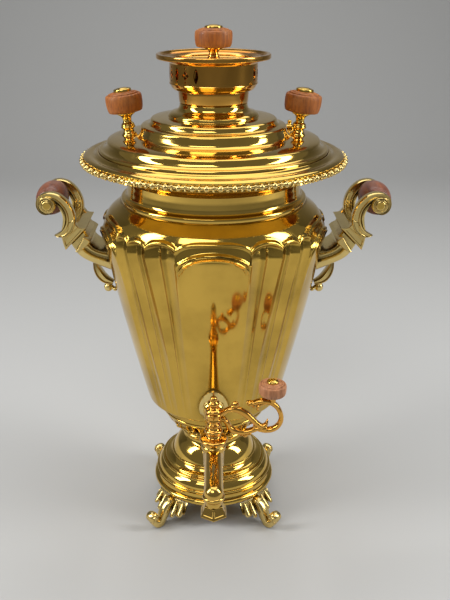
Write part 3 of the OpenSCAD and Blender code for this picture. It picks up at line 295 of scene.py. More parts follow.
def dense(points, step, closed=False):
    """The same line with no stretch longer than step."""
    line = []
    for i in range(len(points) - (0 if closed else 1)):
        a, b = Vector(points[i]), Vector(points[(i + 1) % len(points)])
        parts = max(1, math.ceil((b - a).length / step))
        line += [tuple(a.lerp(b, k / parts)) for k in range(parts)]
    if not closed:
        line.append(tuple(points[-1]))
    return line


# ---------------------------------------------------------------- shapes

def tidy(bm, gap=1e-4):
    bmesh.ops.remove_doubles(bm, verts=bm.verts, dist=gap)
    bmesh.ops.dissolve_degenerate(bm, dist=1e-6, edges=bm.edges)
    bmesh.ops.recalc_face_normals(bm, faces=bm.faces)
    return bm


def in_order(bm):
    """Sorts points and faces, since a spin or an extrusion leaves them in another order on each run."""
    for row, place in ((bm.verts, lambda vert: tuple(vert.co)),
                       (bm.faces, lambda face: sorted(vert.index for vert in face.verts))):
        for i, item in enumerate(sorted(row, key=place)):
            item.index = i
        row.sort()
        row.index_update()
    return bm


def turned(line, steps):
    """A line in r and z turned once round the Z axis: an eighth is spun, then doubled three times."""
    bm = bmesh.new()
    verts = [bm.verts.new((r, 0, z)) for r, z in line]
    edges = [bm.edges.new(pair) for pair in zip(verts, verts[1:])]
    if line[0][0] > 1e-6 or line[-1][0] > 1e-6:
        edges.append(bm.edges.new((verts[-1], verts[0])))
    bmesh.ops.spin(bm, geom=verts + edges, cent=(0, 0, 0), axis=(0, 0, 1), angle=TURN / 8, steps=steps // 8)
    for doubling in range(3):
        more = bmesh.ops.duplicate(bm, geom=bm.verts[:] + bm.edges[:] + bm.faces[:])
        bmesh.ops.rotate(bm, verts=moved_verts(more), cent=(0, 0, 0),
                         matrix=Matrix.Rotation(TURN / 8 * 2 ** doubling, 3, "Z"))
    return tidy(bm)


def lathe(points, radius, step, steps, ring=False, n=3):
    """Turned from a line with eased corners, which starts and ends on the axis or goes round a ring."""
    return turned(dense(eased(points, radius, n, ends=ring), step, ring), steps)


def moved_verts(made):
    return [g for g in made["geom"] if isinstance(g, bmesh.types.BMVert)]


def sheet_of(nu, nv, place, fill=False):
    """A grid whose points are moved to place(u, v); seams that meet are merged."""
    bm = bmesh.new()
    bmesh.ops.create_grid(bm, x_segments=nu, y_segments=nv, size=1)
    for vert in bm.verts:
        vert.co = place((vert.co.x + 1) / 2, (vert.co.y + 1) / 2)
    bmesh.ops.remove_doubles(bm, verts=bm.verts, dist=1e-4)
    if fill:
        bmesh.ops.holes_fill(bm, edges=bm.edges, sides=0)
    return tidy(bm)


# Section of a cast band with a raised border along both edges of each face
BORDERED = [(0.0, 0.7), (0.4, 0.7), (0.54, 0.97), (0.62, 1.0), (0.78, 1.0), (0.9, 0.88), (1.0, 0.5)]
BORDERED += [(c, -s) for c, s in reversed(BORDERED)]
BORDERED += [(-c, s) for c, s in reversed(BORDERED[1:-1])]


def rib(path, power=3, around=16, n=6, section=None):
    """A cast bar along a path of (x, z, width, thickness): width lies in the path's plane,
    thickness across it. A higher power squares its section, or a section gives its outline."""
    line = smooth_line(path, n)
    last = len(line) - 1
    if section:
        around = len(section)

    def place(u, v):
        at = u * last
        i = min(int(round(at)), last)
        x, z, width, thick = line[i]
        a, b = line[max(i - 1, 0)], line[min(i + 1, last)]
        run = Vector((b[0] - a[0], b[1] - a[1])).normalized()
        if section:
            c, s = section[round(v * around) % around]
        else:
            c, s = squared(v, 2 / power)
        return Vector((x - run.y * c * width / 2, s * thick / 2, z + run.x * c * width / 2))

    return sheet_of(last, around, place, fill=True)


def slab(outline, thick, bevel=0.7, border=0.0, sink=0.0):
    """A flat casting across Y with bevelled edges, and a raised border on each face where one is given."""
    bm = bmesh.new()
    half = thick / 2 - bevel
    face = bm.faces.new([bm.verts.new((x, -half, z)) for x, z in outline])
    made = bmesh.ops.extrude_face_region(bm, geom=[face])
    bmesh.ops.translate(bm, vec=(0, 2 * half, 0), verts=moved_verts(made))
    bmesh.ops.recalc_face_normals(bm, faces=bm.faces)
    for end in [f for f in bm.faces if len(f.verts) == len(outline)]:
        bmesh.ops.inset_region(bm, faces=[end], thickness=bevel, depth=bevel, use_even_offset=True)
        if border:
            bmesh.ops.inset_region(bm, faces=[end], thickness=border, depth=0, use_even_offset=True)
            bmesh.ops.inset_region(bm, faces=[end], thickness=0.45 * sink, depth=-sink, use_even_offset=True)
    return bm


def ball(radius, place=(0, 0, 0), squeeze=(1, 1, 1), u=16, v=10):
    bm = bmesh.new()
    bmesh.ops.create_uvsphere(bm, u_segments=u, v_segments=v, radius=radius)
    bm.transform(Matrix.Translation(place) @ Matrix.Diagonal((*squeeze, 1)))
    return bm


def joined(*parts):
    """One mesh of several. A part may be a pair of a mesh and the matrix that places it."""
    bm = bmesh.new()
    for part in parts:
        shape, matrix = part if isinstance(part, tuple) else (part, Matrix())
        copy = shape.copy()
        copy.transform(matrix)
        if matrix.determinant() < 0:
            bmesh.ops.reverse_faces(copy, faces=copy.faces)
        mesh = bpy.data.meshes.new("part")
        copy.to_mesh(mesh)
        bm.from_mesh(mesh)
        bpy.data.meshes.remove(mesh)
        copy.free()
    return bm


def move(x=0, y=0, z=0):
    return Matrix.Translation((x, y, z))


def turn(degrees, axis="Z"):
    return Matrix.Rotation(math.radians(degrees), 4, axis)


def flip(axis=(1, 0, 0)):
    return Matrix.Scale(-1, 4, axis)


BODY_OF = {node: body for body, nodes in frame["record"]["behaviour"]["bodies"].items() for node in nodes}
SLOT_OF = {row["node"]: row["material_slot"] for row in frame["record"]["subparts"]}


def finished(shape, node, crease=38, finish=None):
    """Makes the piece that stands for a node, on that node's body and in its finish."""
    bm = in_order(shape.copy())
    bm.transform(Matrix.Scale(MM, 4))
    mesh = bpy.data.meshes.new(node)
    bm.to_mesh(mesh)
    bm.free()
    smooth(mesh, crease)
    piece = bpy.data.objects.new(node + "_made", mesh)
    bpy.context.scene.collection.objects.link(piece)
    mesh.materials.append(finish or FINISHES[SLOT_OF[node]])
    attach(piece, BODY_OF[node])
    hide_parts(node)
    return piece


def smooth(mesh, crease):
    mesh.shade_smooth()
    mesh.set_sharp_from_angle(angle=math.radians(crease))


def placed(shape, matrix, node, **look):
    return finished(joined((shape, matrix)), node, **look)


def apply_modifiers(piece):
    """The piece's mesh with its modifiers in it, and none left on it."""
    bpy.context.view_layer.update()
    graph = bpy.context.evaluated_depsgraph_get()
    mesh = bpy.data.meshes.new_from_object(piece.evaluated_get(graph))
    piece.modifiers.clear()
    piece.data = mesh
    return piece


# ---------------------------------------------------------------- heights and radii of the solids

BODY_Z, WALL_Z0, WALL_Z1, NECK_Z, RIM_Z = 126.5, 142.3, 329.7, 361.8, 383.8
CROWN_Z, BAND_Z0, BAND_Z1 = 456.65, 475.65, 493.45
WALL_R0, WALL_R1, WALL_BULGE, NECK_R, BAND_R = 72.2, 114.3, 1.7, 87, 42.1
# Thickness of the sheet, and the gap under a piece that sits on another
SHEET, SEAT = 1.6, 0.05


# ---------------------------------------------------------------- base

def base_piece():
    outer = ([(37.0, 98)] + bow((37.6, 97.4), (37.8, 96.6), (37.2, 95.8), 4)
             + bow((36.2, 95.0), (32.4, 94.0), (32.6, 89), 10)
             + bow((33.0, 86.6), (42.2, 82), (46.0, 68.4), 16)[1:]
             + arc(46.4, 66.6, 1.5, 100, -70, 8)
             + bow((47.6, 64.9), (49.6, 62.2), (52.4, 61.6), 8)
             + arc(53.7, 60.2, 1.4, 105, -40, 8)
             + [(55.0, 58.9), (55.6, 58.6)]
             + arc(57.4, 57.4, 1.7, 120, -50, 8)
             + bow((58.9, 55.7), (62.8, 53), (63.3, 47.7), 12)
             + arc(63.9, 46.2, 1.6, 95, -75, 8)
             + bow((63.9, 44.2), (62.6, 41), (64.4, 37.6), 8)
             + arc(65.2, 34.2, 3.2, 88, -92, 14) + [(65.0, 30.1)])
    inner = [
        (65.0, 30), (53.4, 30), (53.2, 30.4), (53.2, 32), (63.2, 32), (63.2, 37.4), (60.9, 41.4),
        (61.0, 47.4), (55.6, 56), (51.0, 59.4), (44.6, 64.2), (43, 71), (37.6, 82.6), (31.2, 86),
        (30.6, 89), (30.6, 95), (33.2, 96.6), (33.2, 98)
    ]
    line = dense(outer, 1.6) + dense(eased(inner, 0.4), 4)[1:]
    finished(turned(line, 224), "base_plinth")


# ---------------------------------------------------------------- feet

LEAF_FOLDS = 3.4


def foot_shape():
    """One foot, drawn towards +X: leg from the rim down to its heel, toe scroll, and draped leaves."""
    leg = rib([(60, 27.5, 5, 10), (66, 26.5, 7, 11), (71.5, 24.5, 10, 11.6), (75.5, 19.5, 11.5, 11.4),
               (79.5, 13.5, 10.6, 11), (83, 8, 9.6, 10.4), (86.4, 5.2, 9.6, 10), (90.4, 6.4, 8.6, 10),
               (94.2, 10.2, 6.6, 10), (96.4, 13.4, 5, 10)], power=3.4, around=24, n=6)
    heel = ball(1, (84.6, 0, 3.3), (4.8, 4.9, 3.3), 20, 12)
    side = [(0, -6.2), (2.0, -6.2, 0.4), (2.3, -5.6, 0.4), (4.2, -5.4, 0.8), (5.2, -4.6, 1), (5.7, -2.6, 1.4)]
    toe = lathe(side + [(6.0, 0, 2)] + mirrored(side), 0.5, 1, 36)
    coil = [(3.1 * (1 - a / 900), math.radians(a)) for a in range(-60, 330, 30)]
    curl = rib([(95.7 + r * math.cos(a), 18 + r * math.sin(a), 1.5, 13.2) for r, a in coil], 2.2, 10, 3)
    crest = rib([(68.5, 26.5, 3.4, 2.4), (74.6, 25.4, 3.6, 3.4), (80.0, 20, 3.4, 3.6), (83.6, 14, 2.6, 3.2),
                 (86.6, 10.4, 1.4, 2.4)], power=2, around=10)
    parts = [leg, heel, (toe, move(95.7, 0, 18) @ turn(90, "X")), curl, crest]

    def leaf(u, v):
        """Half the drape: u from the leg outward, v down the front and up the back."""
        side = math.radians(3.5 + 15.5 * u)
        lobe = abs(math.sin(math.pi * (LEAF_FOLDS * u + 0.15)))
        length = (20.5 - 5.5 * u) * (0.74 + 0.26 * lobe) * (1 - 0.35 * max(0, u - 0.86) / 0.14)
        down = 2 * v if v < 0.5 else 2 - 2 * v
        thick = 0
        if v not in (0, 0.5, 1):
            thick = (1.4 if v < 0.5 else -1.4) * math.sin(math.pi * min(down, 0.98)) ** 0.5
        wave = 1.7 * (lobe - 0.5) * min(1, down * 1.6)
        r = 66.2 + 5.6 * down ** 1.5 + wave + thick
        return Vector((r * math.cos(side), r * math.sin(side), 29.8 - length * down))

    drape = sheet_of(40, 28, leaf)
    parts += [drape, (drape, flip((0, 1, 0)))]
    for s in (-1, 1):
        for k in range(2):
            spine = rib([
                (67.2, 27.6, 2.4, 3.0), (70.6 + k, 22, 3.4, 4.6), (75 - k, 17 + 2 * k, 3.6, 5.2),
                (77.4 - 1.5 * k, 14 + 3 * k, 3.0, 4.4), (78.6 - 1.5 * k, 13.4 + 3 * k, 1.2, 2.4)
            ], power=2.2, around=14)
            parts.append((spine, turn(s * (8 + 6.5 * k))))
    return joined(*parts)


def feet():
    shape = foot_shape()
    for name, angle in (("foot_front_right", -45), ("foot_front_left", -135), ("foot_rear_left", 135),
                        ("foot_rear_right", 45)):
        placed(shape, turn(angle), name)


# ---------------------------------------------------------------- air collar

COLLAR_OPENINGS = 18


def collar_piece():
    """Openwork basket: two rings joined by waisted bars, with a leaf point between each pair."""
    def basket(t):
        return bow_point((36.2, 100.6), (48.6, 106), (55.6, 123.3), t)

    foot = lathe([
        (33.2, 98), (36.6, 98, 0.3), (37.6, 98.6), (38.0, 99.8), (37.4, 101.2), (36.6, 102.6, 0.3),
        (34.4, 102.2), (33.2, 100.4)
    ], 0.6, 1.5, 160, ring=True)
    top = lathe([
        (37.5, 126.5), (56.4, 126.5), (57.3, 125.9), (57.3, 124.3), (56.4, 122.9), (55.4, 121.4),
        (53.0, 121.8), (51.2, 123.6), (37.5, 124.6)
    ], 0.5, 2, 200, ring=True)

    def bar(u, v):
        t = 0.02 + 0.96 * u
        r, z = basket(t)
        r2, z2 = basket(min(t + 0.01, 1))
        out = Vector((z2 - z, -(r2 - r))).normalized()
        half = 1.9 + 3.6 * abs(2 * u - 1) ** 3.2
        c, s = squared(v, 0.7)
        thick = 1.1 + 0.5 * ridge(u - 0.5, 0.12)
        return Vector((r + out.x * thick * s - 1.0, half * c, z + out.y * thick * s))

    one = sheet_of(28, 14, bar, fill=True)
    bud = ball(1, (basket(0.56)[0] - 0.4, 0, basket(0.56)[1]), (1.5, 2.7, 2.4), 12, 8)
    high, middle, low = basket(0.9), basket(0.76), basket(0.6)
    tip = rib([(high[0] - 0.6, high[1], 1.8, 4.6), (middle[0] - 0.7, middle[1], 1.8, 3.2),
               (low[0] - 0.8, low[1], 1.4, 0.3)], power=2, around=8)
    parts = [foot, top]
    for i in range(COLLAR_OPENINGS):
        middle = 360 * (i - 0.25) / COLLAR_OPENINGS - 90
        parts += [(one, turn(middle + 180 / COLLAR_OPENINGS)), (bud, turn(middle + 180 / COLLAR_OPENINGS)),
                  (tip, turn(middle))]
    finished(joined(*parts), "air_collar")


# ---------------------------------------------------------------- body

# Degrees taken by one of the five panels, and by the three hoods between two panels
PANEL, GAP = 35, 37
# The scalloped edge: its cusps and the top of an even hood
HOOD_FOOT, HOOD_TOP = 335.6, 342
# The same edge over a panel: its height at the panel's ends, and how far its middle rises
PANEL_EDGE, PANEL_RISE = 339.4, 6.2
# Height and depth of the rolled lip over a panel and over a hood
PANEL_LIP, HOOD_LIP = (3.4, 1.3), (4.8, 2.3)
# The inner arch of a panel has its half width where the wall has ARCH_R
ARCH_HALF, ARCH_R, ARCH_TOP, ARCH_FOOT, ARCH_POWER = 32.6, 112, 335.6, 314.0, 2.2
# Rows from EDGE_LOW up to the edge; in a panel those between ARCH_ROWS follow the inner arch
EDGE_LOW, EDGE_ROWS, ARCH_ROWS = 300.0, 46, (14, 40)
SHOULDER_LINE = smooth_line([
    (329.7, 114.3), (334, 113.8), (338, 112.7), (342, 111.1), (347, 108.8), (352, 105.4), (355, 102.0),
    (357.6, 98.4), (360, 95.2), (361.8, 93.0)
], 8)


def even_hoods(start):
    return [(start + GAP * i / 3, start + GAP * (i + 1) / 3, HOOD_TOP) for i in range(3)]


# Panels and hoods as (start, end, top of the hood) in degrees from the front; a panel has no top
SPANS = [
    (-PANEL / 2, PANEL / 2, None), (17.5, 34.0, 343.6), (34.0, 45.4, 341.4), (45.4, 54.5, 341.2),
    (54.5, 89.5, None)
]
SPANS += even_hoods(89.5) + [(126.5, 161.5, None)] + even_hoods(161.5)
SPANS += [(360 - end, 360 - start, top) for start, end, top in reversed(SPANS[1:9])]

# The front hoods lean outward over evenly spaced flutes: (degrees at the hood, degrees lower down).
# The lean grows between two heights.
LEAN_LOW, LEAN_HIGH = 200, 336
LEAN = [(0, 0), (17.5, 17.5), (34.0, 17.5 + GAP / 3), (45.4, 17.5 + 2 * GAP / 3), (54.5, 54.5), (180, 180)]


def leaning(angle, z):
    """The direction of a column of the wall at a height."""
    off = (angle + 180) % 360 - 180
    low = between(LEAN, abs(off))
    t = max(0.0, min(1.0, (z - LEAN_LOW) / (LEAN_HIGH - LEAN_LOW))) ** 2
    return math.copysign(low + (abs(off) - low) * t, off)


def wall_r(z):
    t = (z - WALL_Z0) / (WALL_Z1 - WALL_Z0)
    if t <= 1:
        return WALL_R0 + (WALL_R1 - WALL_R0) * t + WALL_BULGE * 4 * t * (1 - t)
    return between(SHOULDER_LINE, z)


def edge_height(top, share):
    """Height of the scalloped edge over a hood, and of the outer arch over a panel."""
    if top is None:
        return PANEL_EDGE + PANEL_RISE * (1 - abs(share) ** 4)
    return HOOD_FOOT + (top - HOOD_FOOT) * math.sqrt(max(0, 1 - (0.985 * share) ** 2))


def arch_gap(across, z, half):
    """Distance from an arch with straight legs, measured about square to it."""
    x = abs(across) / half
    y = max(0, z - ARCH_FOOT) / (ARCH_TOP - ARCH_FOOT)
    level = (x ** ARCH_POWER + y ** ARCH_POWER) ** (1 / ARCH_POWER)
    return (level - 1) * (half if z < ARCH_FOOT else (half + ARCH_TOP - ARCH_FOOT) / 2)


def body_relief(z, half_angle, top, share, edge):
    """How far the surface stands out from the plain vase."""
    r = wall_r(z)
    if z > edge:
        height, depth = PANEL_LIP if top is None else HOOD_LIP
        rise = min(1, (z - edge) / height)
        return depth * math.sin(math.pi * rise) ** 0.8 * (1 - 0.4 * abs(share) ** 3)
    if top is None:
        gap = arch_gap(share * half_angle * r, z, ARCH_HALF * r / ARCH_R)
        fade = max(0.0, min(1.0, (z - 286) / 36)) ** 1.4
        lift = 2.0 * (ridge(gap, 1.25) + 0.8 * ridge(gap - 3.5, 1.1)) * fade
        if gap > 4.6:
            lift -= 0.9 * min(1, (gap - 4.6) / 1.4) * (1 - math.exp(-(edge - z) / 0.9))
        elif gap < -1.6:
            lift -= 0.7 * fade * min(1, (-1.6 - gap) / 2.4)
        return lift
    depth = (1.5 + 4.2 * max(0, min(1, (z - 150) / 180)) ** 1.15) * (0.62 + 0.38 * half_angle / 0.1)
    depth *= min(1, max(0, (z - 143.4) / 9)) ** 0.7
    close = 1 - math.exp(-(edge - z) / 1.2)
    channel = 1 - abs(share) ** 1.9 - 0.42 * ridge(share, 0.15)
    return -depth * channel * close


def body_piece():
    columns = []
    for start, end, top in SPANS:
        parts = 46 if top is None else 26
        for i in range(parts):
            share = -1 + 2 * i / parts
            if top is None:
                share = 0.4 * share + 0.6 * math.sin(math.pi * share / 2)
            half = (end - start) / 2
            columns.append((start + half + share * half, math.radians(half), top, share))
    below = [1 - (1 - i / EDGE_ROWS) ** 1.15 for i in range(1, EDGE_ROWS + 1)]
    above = [0.015] + [0.04 + 0.03 * i for i in range(7)] + [0.26, 0.31, 0.37, 0.44]
    above += [0.52 + 0.08 * i for i in range(7)]
    foot = dense([(36.05, BODY_Z), (56.2, BODY_Z)], 7) + [(56.8, 126.9), (56.9, 128)]
    foot += bow((57.0, 129), (58.2, 139.2), (68.2, 140.4), 12)
    foot += bow((69.4, 140.6), (71.8, 141), (72.4, 143.2), 6)
    wall = [144.4 + (EDGE_LOW - 144.4) * i / 26 for i in range(27)]
    rows = len(foot) + len(wall) + len(below) + len(above)
    inside = [
        (NECK_R - SHEET, NECK_Z), (90.4, 359.8), (96, 355), (101.6, 347), (103.6, 338), (104.6, WALL_Z1),
        (85.6, 235), (67.6, 152), (64.6, 143), (54, 129), (36.05, 128.1)
    ]

    def height(k, half_angle, top, share, edge):
        """Height of row k of the wall. In a panel the rows crowd along the inner arch."""
        if k < len(wall):
            return wall[k]
        k -= len(wall)
        if k >= len(below):
            return edge + (NECK_Z - edge) * above[k - len(below)]
        if top is not None:
            return EDGE_LOW + (edge - EDGE_LOW) * below[k]
        x = min(1, abs(share) * half_angle * ARCH_R / ARCH_HALF)
        crest = ARCH_FOOT + (ARCH_TOP - ARCH_FOOT) * (1 - x ** ARCH_POWER) ** (1 / ARCH_POWER)
        low, high = ARCH_ROWS
        return between([(0, EDGE_LOW), (low, crest - 4.6), (high, crest + 6.4), (EDGE_ROWS, edge)], k + 1)

    def place(row, column):
        angle, half_angle, top, share = columns[column % len(columns)]
        if row >= rows:
            r, z = inside[row - rows]
        elif row < len(foot):
            r, z = foot[row]
        else:
            edge = edge_height(top, share)
            z = height(row - len(foot), half_angle, top, share, edge)
            r = wall_r(z) + body_relief(z, half_angle, top, share, edge)
        a = math.radians(leaning(angle, z) - 90)
        return Vector((r * math.cos(a), r * math.sin(a), z))

    total = rows + len(inside)
    around = len(columns)
    shell = sheet_of(total, around, lambda u, v: place(round(u * total) % total, round(v * around)))
    finished(shell, "body_shell", crease=46, finish=FLUTED)


# ---------------------------------------------------------------- neck and rim

BEADS = 68


def neck_pieces():
    ring = [(NECK_R - SHEET, NECK_Z), (92.2, NECK_Z)] + bow((92.8, 361.9), (94.0, 366.4), (90.4, 366.9), 10)
    ring += bow((89.8, 367.0), (87.4, 367.6), (87.1, 371.4), 6)
    ring += [(86.8, 378), (87, RIM_Z), (NECK_R - SHEET, RIM_Z)]
    finished(turned(dense(ring, 1.5, True), 224), "neck_ring")
    rim = (bow((126.2, 399.6), (98, 398.8), (87.8, 384.4), 20) + [(87.2, RIM_Z), (85.4, RIM_Z), (85.4, 385.8)]
           + dense([(92, 402.8), (106.1, 406.8), (106.1, 409.4), (113.0, 409.4), (113.1, 412.1),
                    (114.1, 412.2)], 3)
           + bow((114.4, 412.1), (116.8, 409.2), (119, 409.3), 6)
           + bow((119.4, 409.3), (124.8, 410.6), (127.6, 407.8), 8)
           + [(127.6, 406.4), (127.2, 405), (127.0, 402.5), (127.6, 400.4)])
    finished(turned(dense(rim, 1.8, True), 256), "rim_flange")
    wire = turned(arc(128.6, 403.8, 1.5, 0, 345, 23), 272)
    large = ball(2.6, (129.3, 0, 403.6), (1, 1, 1.1), 14, 9)
    small = ball(1.35, (130.0, 0, 0), (1, 0.9, 1), 10, 6)
    parts = [wire]
    for i in range(BEADS):
        at = 360 * (i + 0.5) / BEADS
        parts.append((large, turn(at)))
        parts += [(small, turn(at + 180 / BEADS) @ move(z=z)) for z in (402.1, 405.1)]
    finished(joined(*parts), "bead_border", finish=CAST)


# ---------------------------------------------------------------- lid

def lid_piece():
    steps = [(28.4, 456.4), (32.3, 456.4, 0.3), (32.9, 455.8, 0.3)]
    steps += bow((32.9, 455), (33.1, 450.4), (37.6, 449.0), 8)
    steps += bow((37.6, 449.0), (42.6, 447.8), (44.0, 445.6), 6)[1:]
    steps += [
        (44.2, 443.3, 0.4), (52.2, 443.1, 0.2), (60.0, 442.4, 0.5), (61.5, 441.3, 0.6), (62.0, 439.2, 0.8),
        (63.6, 436.9, 0.9), (69.9, 435.8, 0.5), (71.4, 434.5, 0.7), (71.8, 430.8, 1.6), (72.8, 427.4, 1.2),
        (75.2, 425.4, 0.9)
    ]
    outer = eased(steps, 0.6, 4)
    outer += bow((76.4, 425.2), (100.4, 424.6), (103.8, 421.9), 14)
    outer += bow((104.3, 421.2), (105.4, 415.4), (109.8, 414.8), 12)
    outer += arc(110.6, 412.9, 2.0, 92, -4, 8) + [(112.5, 410.2), (112.2, 409.75)]
    inner = [
        (107.6, 409.75), (106.6, 411.4), (104.2, 413.6), (102.6, 419), (99, 421.6), (74.6, 423.4),
        (71.2, 425.8), (70.2, 430.4), (69.6, 433.2), (63, 434.8), (60.6, 437), (60, 440), (52, 441),
        (43.4, 441.4), (41.6, 444.4), (33.6, 445.6), (31.4, 447.6), (31.2, 454.6), (28.4, 454.6)
    ]
    finished(turned(dense(outer, 1.6) + dense(inner, 5), 256), "lid_dome")


def lid_stem(length):
    """Broad ringed foot, then a waist that flares to the plate under the knob."""
    return lathe([
        (0, -4.2), (4.4, -4.2, 0.2), (4.2, -2.9, 0.2), (3, -2.8, 0.2), (3, -0.7, 0.1), (7.2, -0.7, 0.3),
        (7.6, 1.4, 0.6), (6.8, 2.6, 0.6), (5.4, 4.2, 1.0), (4.9, 6.4, 1.0), (5.4, 7.3, 0.4),
        (7.0, 8.0, 0.6), (7.2, 9.3, 0.6), (6.4, 10.1, 0.3), (6.6, 11.2, 0.5), (5.6, 12.3, 0.5),
        (4.4, 13.4, 0.8), (4.1, 15.2, 1.4), (4.8, length - 4.6, 1.4), (6.6, length - 3.0, 0.8),
        (8.8, length - 1.8, 0.5), (9.0, length - 0.6, 0.4), (8.6, length, 0.2), (2.4, length, 0.1),
        (2.4, length + 8, 0.2), (0, length + 8)
    ], 0.4, 0.9, 56)


def knob_shape(r, h):
    """A turned drum with a stepped top, three lathe grooves and a blind hole for its rod."""
    side = [
        (2.45, 9), (2.45, 0, 0.1), (0.76 * r, 0, 0.3), (0.90 * r, 0.03 * h, 0.9),
        (0.955 * r, 0.18 * h, 1.6), (0.99 * r, 0.45 * h, 3), (0.985 * r, 0.72 * h, 1.6),
        (0.955 * r, 0.84 * h, 0.8), (0.88 * r, 0.885 * h, 0.5), (0.835 * r, 0.875 * h, 0.2),
        (0.82 * r, 0.85 * h, 0.15), (0.805 * r, 0.87 * h, 0.2), (0.79 * r, 0.935 * h, 0.4),
        (0.72 * r, 0.955 * h, 0.3), (0.665 * r, 0.95 * h, 0.2), (0.65 * r, 0.93 * h, 0.15),
        (0.635 * r, 0.95 * h, 0.2), (0.61 * r, 0.985 * h, 0.3), (0.54 * r, h, 0.2), (0, h)
    ]
    return turned(dense([(0, 9)] + eased(side, 0.4, 4), 1.2), 72)


def button_shape(r, lift=0.0):
    top = [(r, 0.9, 0.3), (0.94 * r, 1.7, 0.4), (0.72 * r, 2.2, 0.3), (0.66 * r, 1.95, 0.2),
           (0.60 * r, 2.3, 0.3), (0.4 * r, 2.8, 1.0), (0, 2.9)]
    return lathe([(0, 0), (r, 0, 0.1)] + [(x, z + lift, *own) for x, z, *own in top], 0.2, 0.8, 48)


LID_KNOB_AT, LID_KNOB_Z, LID_LEAN, LID_STEM = 82.5, 424.17, 7, 23
KNOB_R, KNOB_H, CAP_KNOB_H, BUTTON_R = 18, 19.5, 17.5, 8.64


def lid_knobs():
    stem = lid_stem(LID_STEM)
    knob = knob_shape(KNOB_R, KNOB_H)
    button = button_shape(BUTTON_R, 0.9)
    for side, s in (("right", 1), ("left", -1)):
        here = move(s * LID_KNOB_AT, 0, LID_KNOB_Z) @ turn(s * LID_LEAN, "Y")
        placed(stem, here, "lid_stem_" + side)
        placed(knob, here @ move(z=LID_STEM + SEAT), "lid_knob_" + side)
        placed(button, here @ move(z=LID_STEM + KNOB_H + 2 * SEAT), "lid_button_" + side)
    vent = lathe([
        (0, -3.4), (1.52, -3.4, 0.2), (1.52, 0.6, 0.1), (5.4, 0.6, 0.3), (6.4, 1.4, 0.5), (6.4, 3, 0.5),
        (4.6, 3.8, 0.5), (2.2, 4.4, 0.5), (1.8, 5.6, 0.5), (2.4, 6.8, 0.6), (2.2, 8, 0.6), (0, 8.6)
    ], 0.3, 0.7, 40)
    placed(vent, turn(27) @ move(87, 0, LID_KNOB_Z) @ turn(5, "Y"), "vent_cap")


# ---------------------------------------------------------------- crown and cap

# Motifs in each of the two pierced stretches, the angle between them and the first stretch's middle
MOTIFS, MOTIF_PITCH, MOTIF_TURN = 7, 15.5, 21


def crown_pieces():
    """Flared cup, pierced band, flared rim and the sleeve under them."""
    cup = [(28.4, 468.1), (34.0, 468.1)] + bow((34.6, 468.1), (39.8, 468.2), (41.3, 473.6), 12)
    cup += [(41.5, 474.1), (42.3, 474.3), (42.5, 474.8), (42.3, 475.4), (42.1, BAND_Z0), (40.5, BAND_Z0),
            (39.4, 473.6), (36.6, 470.6), (33.0, 469.8), (28.4, 469.8)]
    finished(turned(dense(cup, 1.4, True), 224), "crown_cup")
    rim = lathe([
        (40.5, BAND_Z1), (42.1, BAND_Z1, 0.1), (43.0, 494.6, 1.2), (46.2, 496.4, 1.5), (50.4, 496.9, 0.5),
        (53.9, 497.1, 0.4), (54.6, 497.8, 0.4), (54.6, 501, 0.4), (54.1, 501.65, 0.3), (51.2, 501.65, 0.3),
        (50, 499.7, 0.4), (44.5, 498.5, 0.5), (40.5, 497.0, 0.5)
    ], 0.4, 1.4, 256, ring=True, n=4)
    finished(rim, "crown_flange")
    band = [(BAND_R - SHEET, BAND_Z0), (BAND_R, BAND_Z0), (BAND_R, BAND_Z1), (BAND_R - SHEET, BAND_Z1)]
    crown = finished(turned(dense(band, 20, True), 320), "crown_gallery", crease=30)
    leaf = bmesh.new()
    half = [(2.3 * math.sin(math.pi * k / 12) ** 0.8, 14 * (k / 12 - 0.5)) for k in range(13)]
    outline = half + [(-x, z) for x, z in reversed(half[1:-1])]
    leaf.faces.new([leaf.verts.new((36, x, z)) for x, z in outline])
    petals = [(x, z, 1.5) for x, z in arc(0, 0, 2.35, 0, 270, 3)] + [(0, 6.2, 1.0), (0, -6.2, 1.0)]
    flower = bmesh.new()
    for x, z, r in petals:
        flower.faces.new([flower.verts.new((36, x + p, z + q)) for p, q in arc(0, 0, r, 0, 330, 11)])
    for cutter in (leaf, flower):
        made = bmesh.ops.extrude_face_region(cutter, geom=cutter.faces[:])
        bmesh.ops.translate(cutter, vec=(12, 0, 0), verts=moved_verts(made))
        bmesh.ops.recalc_face_normals(cutter, faces=cutter.faces)
    cuts = []
    for side in range(2):
        for i in range(MOTIFS):
            at = MOTIF_TURN + 180 * side + MOTIF_PITCH * (i - MOTIFS // 2)
            cuts.append((leaf if i % 2 == 0 else flower, turn(at) @ move(z=(BAND_Z0 + BAND_Z1) / 2)))
    mesh = bpy.data.meshes.new("crown_cuts")
    tool = in_order(joined(*cuts))
    tool.transform(Matrix.Scale(MM, 4))
    tool.to_mesh(mesh)
    cutter = bpy.data.objects.new("crown_cuts", mesh)
    bpy.context.scene.collection.objects.link(cutter)
    pierce = crown.modifiers.new("pierced", "BOOLEAN")
    pierce.object = cutter
    pierce.solver = "EXACT"
    apply_modifiers(crown)
    bpy.data.objects.remove(cutter)
    smooth(crown.data, 30)
    sleeve = lathe([
        (28.4, CROWN_Z), (32.7, CROWN_Z, 0.2), (33.2, 457.4, 0.5), (33.5, 460.4, 1), (34.0, 466.6, 0.6),
        (34.0, 468.0, 0.2), (28.4, 468.0)
    ], 0.2, 1.4, 192, ring=True)
    finished(sleeve, "crown_sleeve", finish=WARM)


